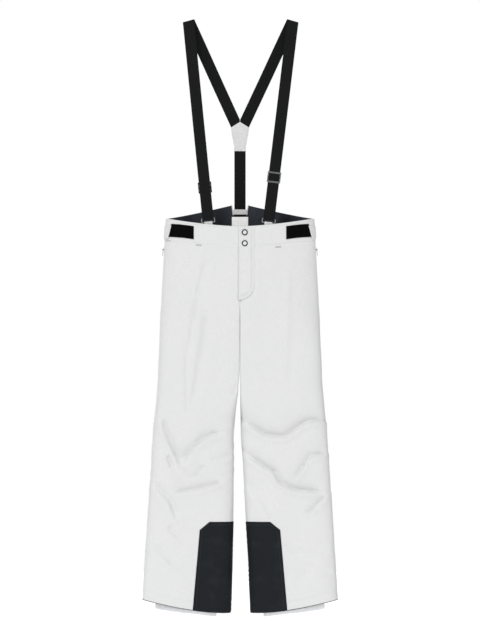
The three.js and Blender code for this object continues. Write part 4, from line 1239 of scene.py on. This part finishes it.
def label():
    """The blank satin label under the keeper, with its rim pressed flat and stitched down."""
    low, high = box_in_mm("blank_label")
    high[2] -= 1.6
    x = np.linspace(low[0], high[0], 30)
    z = np.linspace(high[2], low[2], 20)[:, None]
    edge_x = np.abs(x) / high[0]
    edge_z = np.abs(z - (low[2] + high[2]) / 2) / ((high[2] - low[2]) / 2)
    y = low[1] + 0.25 * smooth(0.9, 1, np.maximum(edge_x, edge_z))
    grid = np.stack(np.broadcast_arrays(x, y, z), -1)
    obj = solid(surface("satin_label", grid, [LABEL]), 0.55, bevel=0.15)
    declare(obj, grid, "stretched", "lining_behind")
    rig.slot(obj, "label")
    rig.replaces(obj, "blank_label")
    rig.ride(obj, "trunk")
    inset = 2.2
    (left, _, foot), (right, _, top) = low + inset, high - inset
    corners = [(left, top), (right, top), (right, foot), (left, foot), (left, top)]
    path = np.array([(x, low[1], z) for x, z in corners])
    obj = stitches("label_stitches", [facing(resampled(path, 0.5), -1)], WHITE_THREAD,
                   pitch=2.2, length=1.5, half_width=0.3, height=0.25)
    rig.slot(obj, "label")
    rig.ride(obj, "trunk")


# ---------- Waist adjusters ----------
TAB_SLANT = 9.0
TAB_END = WAIST_HALF - TAB_SLANT


def pile_patch(name):
    """The black pile patch on the front of the band."""
    s, v = np.linspace(0, 1, 40)[None], np.linspace(1, 0, 20)[:, None]
    x = mix(0.62 * WAIST_HALF, TAB_END - TAB_SLANT * v + 2, s)
    z = band_top(-1, x) - 15 - TAB_HEIGHT * (1 - v)
    grid = offset_shell(name, -trunk_turn(x, z), z, 2 * CLEAR + 1.2)
    obj = solid(surface(f"pile_patch_{name}", grid, [PILE], flip=SIDES[name] < 0), 1.2, bevel=0.4)
    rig.slot(obj, "hook_and_loop")
    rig.replaces(obj, f"loop_patch_{name}")
    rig.ride(obj, "trunk")


def pull_tab(name):
    """The white tab that wraps the side seam, soft and with its rim stitched down."""
    s, v = np.linspace(0, 1, 90)[None], np.linspace(1, 0, 24)[:, None]
    z = SIDE_TOP - 38.5 + TAB_HEIGHT * (v - 0.5) + 0 * s
    turn = mix(-trunk_turn(TAB_END - TAB_SLANT * v + 1, z), trunk_turn(150, z), s)
    soft = 0.3 * bump(v - 0.5, 0.35) - 0.3 * smooth(0.4, 0.5, np.abs(v - 0.5))
    grid = offset_shell(name, turn, z, 2.5 + 1.4 * smooth(0.1, 0.03, s) + soft)
    obj = solid(surface(f"pull_tab_{name}", grid, [SHELL], flip=SIDES[name] < 0), 1.4, bevel=0.5)
    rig.slot(obj, "shell")
    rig.replaces(obj, f"waist_tab_{name}")
    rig.ride(obj, f"waist_tab_{name}")
    inner = slice(3, -3)
    normals = shell_normal(name, turn, z)
    lines = [(grid[cut], normals[cut]) for cut in [(2, inner), (-3, inner), (inner, 2), (inner, -3)]]
    thread_row = stitches(f"pull_tab_stitches_{name}", lines, WHITE_THREAD)
    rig.slot(thread_row, "shell")
    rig.ride(thread_row, f"waist_tab_{name}")


# ---------- Cuffs ----------
def cuff_guard(name):
    """The scuff guard follows the folded shell over the inner half of the cuff; a stitched rim and a
    cut corner at its top."""
    top, chamfer = HEM_INNER + 250, 22
    foot_x = HEM_GAP + 0.42 * (HEM_HALF - HEM_GAP)
    s, v = np.linspace(0, 1, 141)[None], np.linspace(1, 0, 90)[:, None]
    spread = np.abs(2 * s - 1)

    def edge(z):
        return foot_x - chamfer * (z - HEM_INNER) / (top - HEM_INNER)

    inset = np.maximum(0, spread - 0.85) / 0.15
    low = hem_level(mix(1, leg_turn(name, edge(top), top), spread)) + 1
    z = mix(low, top - chamfer * inset, v)
    turn = np.where(s < 0.5, -1, 1) * np.minimum(mix(1, leg_turn(name, edge(z), z), spread), 1 - 1e-4)
    rim = np.minimum.reduce([s * 70 + 0 * v, (1 - s) * 70 + 0 * v, (1 - v) * 80 + 0 * s])
    grid = garment(name, turn, z, 1.5 - 0.7 * bump(rim, 0.7))
    obj = surface(f"guard_{name}", grid, [GUARD], flip=SIDES[name] > 0)
    solid(obj, 1.0)
    declare(obj, grid, "stretched", f"shell_lower_{name}")
    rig.slot(obj, "scuff_guard")
    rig.replaces(obj, f"cuff_guard_{name}")
    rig.ride(obj, f"shin_{name}")
    normals = shell_normal(name, turn, z)
    cuts = [(slice(2, None), 3), (slice(2, None), -4), (3, slice(3, -3))]
    lines = [(grid[cut], normals[cut]) for cut in cuts]
    thread_row = stitches(f"guard_stitches_{name}", lines, BLACK_THREAD)
    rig.slot(thread_row, "scuff_guard")
    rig.ride(thread_row, f"shin_{name}")


def gaiter(name):
    """The snow gaiter: a slack tube, gathered along its elastic at the foot."""
    centre, half = (HEM_HALF + HEM_GAP) / 2 - 1, (HEM_HALF - HEM_GAP) / 2
    angle = np.linspace(0, 2 * math.pi, 240, endpoint=False)[None]
    v = np.linspace(1, 0, 60)[:, None]
    foot = HEM_SIDE - 27 - 22 * (0.5 - 0.5 * np.cos(angle))
    z = mix(foot, HEM_SIDE + 100, v)
    wide = mix(0.7, 0.84, smooth(0.35, 1, v)) * half
    deep = (43 - WALL) * mix(0.8, 0.9, v)
    gather = smooth(0.5, 0.04, v) * (0.5 * np.sin(46 * angle) + 0.4 * np.sin(29 * angle + 1))
    casing = 0.8 * bump(v - 0.05, 0.035)
    across, back = power(np.cos(angle)) + 0 * v, power(np.sin(angle)) + 0 * v
    outward = unit(np.stack([SIDES[name] * across, back, 0 * z], -1))
    tube_grid = np.stack([SIDES[name] * (centre + wide * across), deep * back, z], -1)
    grid = tube_grid + outward * (gather + casing - 0.6)[..., None]
    obj = surface(f"snow_gaiter_{name}", grid, [GAITER], round_cols=True, flip=SIDES[name] < 0)
    solid(obj, 1.0)
    declare(obj, grid, "hung", f"shell_lower_{name}")
    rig.slot(obj, "gaiter")
    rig.replaces(obj, f"gaiter_{name}")
    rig.ride(obj, f"shin_{name}")


# ---------- Fly ----------
def flap_foot(x):
    """The flap's lower edge: a J from the free edge's foot out to the hinge side, as a height."""
    t = np.linspace(0, 1, 60)
    across = (1 - t) ** 2 * FLAP_NEAR + 2 * t * (1 - t) * (FLAP_FAR - 4) + t**2 * FLAP_FAR
    up = (1 - t) ** 2 * 2 + 2 * t * (1 - t) * 6 + t**2 * 43
    return FLY_FOOT + np.interp(x, across, up)


def fly_point(x, z, out):
    """A point in front of the shell's front plane, out from it by `out`."""
    x, z, out = np.broadcast_arrays(x, z, out)
    return np.stack([x, -depth_at("left", -1, np.abs(x), z) - out, z], -1)


def flap_stand(x, z):
    """How far the flap stands off the shell: it lies low along its sewn side and its foot."""
    lie = np.minimum(smooth(0, 16, FLAP_FAR - x), smooth(0, 4, z - flap_foot(x)))
    return mix(FLAP_LOW, FLAP_HIGH, lie), lie


def fly_flap():
    """The flap: it stands off over the zip, with a soft wave, a stitched rim and the band's seam in it."""
    x = np.linspace(FLAP_NEAR, FLAP_FAR, 44)[None]
    v = np.linspace(0, 1, 130)[:, None]
    z = mix(waist_line(-1, x) - 0.5, flap_foot(x), v)
    out, lie = flap_stand(x, z)
    soft = 0.25 * np.sin(z / 9) * smooth(-3, 8, x) * lie
    groove = -0.2 * bump(FLAP_FAR - 9 - x, 1.1) - 0.15 * bump(x - FLAP_NEAR - 5, 1.0)
    band_seam = -0.35 * bump(z - band_foot(-1, x), 1.2)
    grid = fly_point(x, z, out + soft + groove + band_seam)
    obj = solid(surface("fly_cover", grid, [SHELL]), 1.2, bevel=0.5)
    declare(obj, grid, "stretched", "shell_upper_left")
    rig.slot(obj, "shell")
    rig.replaces(obj, "fly_flap")
    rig.ride(obj, "fly_flap")

    straight = grid[2:100, 34]
    lines = []
    for shift in (0, 3):
        curve_x = np.linspace(FLAP_FAR - 9 - shift, FLAP_NEAR + 3, 60)
        curve = fly_point(curve_x, flap_foot(curve_x + 6) + 8 + shift, 3.4)
        if shift == 0:
            curve = np.vstack([straight[straight[:, 2] > curve[0, 2]], curve])
        lines.append(resampled(curve, 1.0))
    lines.append(grid[3:-8, 4])
    rows = []
    for x, _, z in (path.T for path in lines):
        rows.append(facing(fly_point(x, z, flap_stand(x, z)[0] + 0.05), -1))
    thread_row = stitches("fly_stitches", rows, WHITE_THREAD)
    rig.slot(thread_row, "shell")
    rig.ride(thread_row, "fly_flap")


def turned(name, profile, looks, second_from, centre, segments=48):
    """A round piece about Y through a centre, from (radius, y) pairs that start and end on the axis. The
    faces from pair number second_from on have the second look."""
    profile = np.array(profile, float)
    angle = np.linspace(0, 2 * math.pi, segments, endpoint=False)
    radius, depth = profile[:, 0, None], profile[:, 1, None]
    grid = np.stack([radius * np.cos(angle), depth + 0 * angle, radius * np.sin(angle)], -1) + centre
    faces = grid_faces(len(profile), segments, False, False, True)
    face_look = np.repeat(np.arange(len(profile) - 1) >= second_from, segments)
    obj = mesh_object(name, grid.reshape(-1, 3), faces, looks, face_look=face_look)
    recalculate(obj)
    return obj


def snap_cap(place):
    """A dark ring cap with a white enamel centre, on the flap."""
    low, high = box_in_mm(f"snap_cap_{place}")
    centre = (low + high) / 2
    r, back = (high - centre)[:2]
    shank = [(0, back), (2.4, back), (3.6, back - 1.2), (3.6, 2.2 - back)]
    rim = [(r - 0.5, 1.9), (r, 1.4), (r, 1.0), (r - 0.4, 0.35), (r - 1.2, 0), (r - 2.0, 0.05),
           (r - 2.7, 0.45), (r - 3.0, 0.95)]
    dome = [(r - 3.05, 1.0), (r - 3.6, 0.75), (2.2, 0.55), (0, 0.5)]
    profile = shank + [(x, y - back) for x, y in rim + dome]
    first_enamel = len(shank + rim)
    obj = turned(f"snap_button_{place}", profile, [GUNMETAL, ENAMEL], first_enamel, centre)
    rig.slot(obj, "snap_metal")
    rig.replaces(obj, f"snap_cap_{place}")
    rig.ride(obj, "fly_flap")


def snap_stud(place):
    """The stud behind a cap: a neck on a round plate."""
    low, high = box_in_mm(f"snap_stud_{place}")
    centre = (low + high) / 2
    half = high[1] - centre[1]
    neck = [(0, -half), (1.2, -half), (1.7, -half + 0.3), (1.8, -half + 0.6), (1.6, -half + 1.2)]
    plate = [(1.8, half - 0.7), (4.6, half - 0.6), (5.0, half - 0.4), (5.0, half - 0.1), (4.8, half),
             (0, half)]
    obj = turned(f"snap_post_{place}", neck + plate, [GUNMETAL], len(neck + plate), centre, 32)
    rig.slot(obj, "snap_metal")
    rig.replaces(obj, f"snap_stud_{place}")
    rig.ride(obj, "trunk")


COIL_PITCH = 1.5


def zip_rows(name, tapes, coils, place, length):
    """A zip: flat tapes, and coils whose thickness swells once for each tooth. place(a, b, t) maps across,
    out and up the zip to a point."""
    grids = []
    t = np.linspace(0, length, 50)[:, None]
    for inner, outer, depth in tapes:
        across, out = np.array([[inner, outer, outer, inner], [depth, depth, depth + 0.5, depth + 0.5]])
        grids.append((place(across + 0 * t, out + 0 * t, t + 0 * across), TAPE))
    t = np.arange(0, length, COIL_PITCH / 4)[:, None]
    angle = np.linspace(0, 2 * math.pi, 8, endpoint=False)
    for k, (centre, depth, wide) in enumerate(coils):
        swell = 0.78 + 0.22 * np.cos(2 * math.pi * t / COIL_PITCH + math.pi * k)
        across, out = centre + wide * swell * np.cos(angle), depth + 0.55 * swell * np.sin(angle)
        grids.append((place(across, out, t + 0 * angle), COIL))
    parts = [surface("zip_part", grid, [look], round_cols=True, caps=True) for grid, look in grids]
    for part in parts:
        recalculate(part)
    obj = joined(name, parts)
    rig.slot(obj, "zip_coil")
    return obj


def zips():
    """The fly's two zip halves and the two pockets' zips."""
    fly_length = BAND_FOOT - BAND_DIP - 1 - FLY_FOOT - TAPE_GAP
    for name, side in SIDES.items():
        def in_fly(a, b, t, side=side):
            z = FLY_FOOT + TAPE_GAP + t
            return np.stack([side * a, -along(FRONT_DEPTH, z) + b, z], -1)

        obj = zip_rows(f"fly_coil_{name}", [(1.5, 6.0, 1.75)], [(1.25, 1.1, 0.95)], in_fly, fly_length)
        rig.replaces(obj, f"fly_zip_{name}")
        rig.ride(obj, "trunk")

        def in_pocket(a, b, t, side=side):
            z = POCKET_FOOT + 1.5 + t
            return np.stack([side * (along(OUTER_EDGE, z) - b), a, z], -1)

        tapes = [(-3.4, -0.2, 1.7), (0.2, 3.4, 1.7)]
        obj = zip_rows(f"pocket_coil_{name}", tapes, [(-0.75, 1.25, 0.85), (0.75, 1.25, 0.85)], in_pocket,
                       POCKET_LENGTH - 3)
        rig.replaces(obj, f"pocket_zip_{name}")
        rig.ride(obj, "trunk")


# ---------- Braces ----------
def brace(name):
    """The measures of one brace: its fold, the directions of its two runs and the depth of its foot."""
    hook_x = HOOK_X[name]
    ring_z = float(band_top(-1, hook_x)) + RING_HEIGHT
    fold = np.array([FOLD_X[name], 0.0])
    front = np.array([hook_x, ring_z - 3]) - fold
    back = np.array([0.53 * YOKE_HALF, -YOKE_TOP - YOKE_SHOULDER / 2]) - fold
    down1, down2 = unit(front), unit(back)
    bisector = unit(down1 + down2)
    crease = np.array([-bisector[1], bisector[0]])
    crease *= 1 if crease @ down2 > 0 else -1
    lean = math.acos(bisector @ down2)
    wrap = math.pi / 2 * FOLD_RADIUS / math.cos(lean)
    start = fold - crease * wrap * math.sin(lean)
    deep_x = hook_x + 0.75 * STRAP_WIDTH
    deep_z = float(band_top(-1, deep_x))
    inside = -plain_shell(name, -trunk_turn(deep_x, deep_z), deep_z)[1] - BAND_WALL - CLEAR - LINING
    front_y = -(inside - 2 * CLEAR - STRAP / 2)
    return dict(name=name, side=SIDES[name], ring_z=ring_z, fold=fold, start=start, down=down1,
                bisector=bisector, crease=crease, lean=lean, wrap=wrap, front_y=front_y,
                front=float(np.linalg.norm(front)), back=float(np.linalg.norm(back)))


BACK_STRAP_Y = float(box_in_mm("back_strap")[:, 1].mean())


def shoulder_strap(b):
    """A flat strip wrapped round a rod whose axis is the crease, so that its two runs make a V.
    s runs from the lower front end to the yoke, and w across the width."""
    quarter = math.pi / 2 * FOLD_RADIUS
    s = np.concatenate([
        np.linspace(-(b["front"] + b["wrap"]), -1.3 * b["wrap"], 110)[:-1],
        np.linspace(-1.3 * b["wrap"], 1.3 * b["wrap"], 40)[:-1],
        np.linspace(1.3 * b["wrap"], b["back"] + b["wrap"] + 7, 60),
    ])[:, None]
    w = np.linspace(-0.5, 0.5, 9)[None] * STRAP_WIDTH
    across = s * math.sin(b["lean"]) + w * math.cos(b["lean"])
    down = s * math.cos(b["lean"]) - w * math.sin(b["lean"])
    run = np.maximum(0, np.abs(down) - quarter)
    angle = np.clip(down / quarter, -1, 1) * math.pi / 2
    lift = run - FOLD_RADIUS * np.cos(angle)
    depth = np.where(down < 0, -b["front_y"], BACK_STRAP_Y) + STRAP / 2
    spread = np.where(down < 0, 330, 200)
    away = (depth - FOLD_RADIUS) * smooth(0, 1, run / spread)
    x = b["fold"][0] + across * b["crease"][0] + lift * b["bisector"][0]
    z = b["fold"][1] + across * b["crease"][1] + lift * b["bisector"][1]
    y = FOLD_RADIUS * np.sin(angle) + np.sign(down) * away
    x = np.where(down > 0, np.maximum(x, 0.25), x)
    grid = np.stack([b["side"] * x, y, z], -1)
    obj = surface(f"brace_{b['name']}", grid, [WEBBING], flip=b["side"] > 0)
    solid(obj, STRAP, bevel=0.35)
    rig.slot(obj, "webbing")
    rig.replaces(obj, f"shoulder_strap_{b['name']}")
    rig.ride(obj, "braces")


def brace_axes(b, z):
    """The origin and the directions across, back and up of a frame on the brace's front run."""
    x = b["start"][0] + b["down"][0] * (z - b["start"][1]) / b["down"][1]
    up = np.array([-b["side"] * b["down"][0], 0, -b["down"][1]])
    return np.array([b["side"] * x, b["front_y"], z]), np.cross((0, 1.0, 0), up), up


def in_brace(b, z, path):
    """Points given across, back and up in a brace's frame, as points of the row."""
    origin, across, up = brace_axes(b, z)
    path = np.asarray(path, float)
    return origin + path[:, :1] * across + path[:, 1:2] * np.array([0, 1.0, 0]) + path[:, 2:] * up


def hairpin(radius, front, back, count=40):
    """A U in the Y and Z of a brace's frame: a leg in front, a half circle under the bar, a leg behind."""
    turn = np.linspace(math.pi, 2 * math.pi, count)
    y = np.concatenate([np.full(30, -radius), radius * np.cos(turn), np.full(30, radius)])
    z = np.concatenate([np.linspace(front, 0.5, 30), radius * np.sin(turn), np.linspace(0.5, back, 30)])
    return np.stack([0 * y, y, z], -1)


def round_ring(b, name, path, width, look):
    """Webbing along a hairpin round the ring of a brace."""
    path[:, 1] += STRAP / 2 + 2 * CLEAR + PLY + RING / 2
    across = brace_axes(b, b["ring_z"])[1]
    return ribbon(f"{name}_{b['name']}", in_brace(b, b["ring_z"], path), across, width, PLY, [look])


def hook(b):
    """The strap's tail round the ring, and the white loop that holds the ring to the waistband."""
    radius = RING / 2 + CLEAR + PLY / 2
    tail = hairpin(radius, 36, -ADJUSTER_DROP[b["name"]] - b["ring_z"] + 2.2)
    obj = round_ring(b, "tail", tail, STRAP_WIDTH, WEBBING)
    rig.slot(obj, "webbing")
    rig.replaces(obj, f"strap_tail_{b['name']}")
    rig.ride(obj, "trunk")
    loop = hairpin(radius, 54, 54)
    loop[:, 2] = -RING_HEIGHT + RING - loop[:, 2]
    obj = round_ring(b, "ring_loop", loop, 0.7 * STRAP_WIDTH, SHELL)
    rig.slot(obj, "shell")
    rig.replaces(obj, f"waist_loop_{b['name']}")
    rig.ride(obj, "trunk")


def polygon_pillow(name, outline, y_front, thickness, look):
    """A flat sewn patch: rings of its outline drawn in towards its middle, a little crowned, with a
    rolled edge, closed front and back."""
    outline = resampled(np.array([(x, 0, z) for x, z in [*outline, outline[0]]]), 1.6)[:, [0, 2]]
    middle = outline.mean(0)
    profile = [(0.0, 0.0), (0.4, 0.0), (0.8, 0.0), (0.9, 0.08), (0.965, 0.12), (0.99, 0.25), (1.0, 0.5),
               (0.99, 0.75), (0.965, 0.9), (0.8, 1.0), (0.4, 1.0), (0.0, 1.0)]
    share, depth = np.array(profile).T
    flat = middle + share[:, None, None] * (outline - middle)
    y = np.broadcast_to((y_front + thickness * depth)[:, None], flat.shape[:2])
    grid = np.stack([flat[..., 0], y, flat[..., 1]], -1)
    obj = surface(name, grid, [look], round_cols=True)
    recalculate(obj)
    return obj, outline


def back_webbing():
    """The strap down the back."""
    low, high = box_in_mm("back_strap")
    path = np.array([(0, BACK_STRAP_Y, z) for z in np.linspace(low[2], high[2], 80)])
    obj = ribbon("back_webbing", path, (1, 0, 0), STRAP_WIDTH, STRAP, [WEBBING])
    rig.slot(obj, "webbing")
    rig.replaces(obj, "back_strap")
    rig.ride(obj, "braces")


def yoke(node, out):
    """One of the yoke's two stitched plates, with the straps between them; out is its face, -1 or 1."""
    foot, half = -YOKE_TOP - YOKE_LENGTH, 15.4
    right = [(half, foot), (half, foot + 10), (22.5, -YOKE_TOP - 36), (YOKE_HALF, -YOKE_TOP - YOKE_SHOULDER)]
    outline = [*right, (0, -YOKE_TOP), *[(-x, z) for x, z in reversed(right)]]
    low, high = box_in_mm(node)
    obj, edge = polygon_pillow(f"{node}_plate", outline, low[1], high[1] - low[1], SHELL)
    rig.slot(obj, "shell")
    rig.replaces(obj, node)
    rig.ride(obj, "braces")
    middle = edge.mean(0)
    inset = middle + 0.86 * (edge - middle)
    loop = np.insert(np.vstack([inset, inset[:1]]), 1, low[1] if out < 0 else high[1], axis=1)
    row = stitches(f"{node}_stitches", [facing(loop, out)], WHITE_THREAD, pitch=2.6, length=1.8)
    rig.slot(row, "shell")
    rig.ride(row, "braces")


def hardware():
    """The small metal parts keep their CAD shape, with their edges broken, and get plated finishes."""
    looks = {"adjuster_left": STEEL, "adjuster_right": BLACK_METAL, "fly_slider": NICKEL}
    for name in SIDES:
        for kind in ("hook_ring", "pocket_slider", "pocket_pull"):
            looks[f"{kind}_{name}"] = NICKEL
    for node, look in looks.items():
        obj = frame["nodes"][node]
        if not obj.material_slots:
            obj.data.materials.append(look)
        for place in obj.material_slots:
            place.material = look
        merge = obj.modifiers.new("merge", "WELD")
        merge.merge_threshold = 1e-6
        round_edges(obj, 0.35, 40)


for side_name in SIDES:
    upper_shell(side_name)
    lower_shell(side_name)
    waistband(side_name)
    seam_threads(side_name)
    pile_patch(side_name)
    pull_tab(side_name)
    cuff_guard(side_name)
    gaiter(side_name)
    lining(f"lining_behind_{side_name}", side_name, 0.015, 0.9999, "lining_back", slack=1.1)
    front_end = -float(trunk_turn(47, SIDE_TOP))
    lining(f"lining_before_{side_name}", side_name, front_end, -0.015, f"lining_front_{side_name}")
    measures = brace(side_name)
    shoulder_strap(measures)
    hook(measures)
waist_stitching()
notch_piping()
keeper()
label()
fly_flap()
for place_name in ("upper", "lower"):
    snap_cap(place_name)
    snap_stud(place_name)
zips()
back_webbing()
yoke("yoke_front", -1)
yoke("yoke_back", 1)
hardware()

with open("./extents.json", "w") as out:
    json.dump({"cad": [list(c) for c in CAD_BOX], "visual": [list(c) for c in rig.bounds()]}, out)
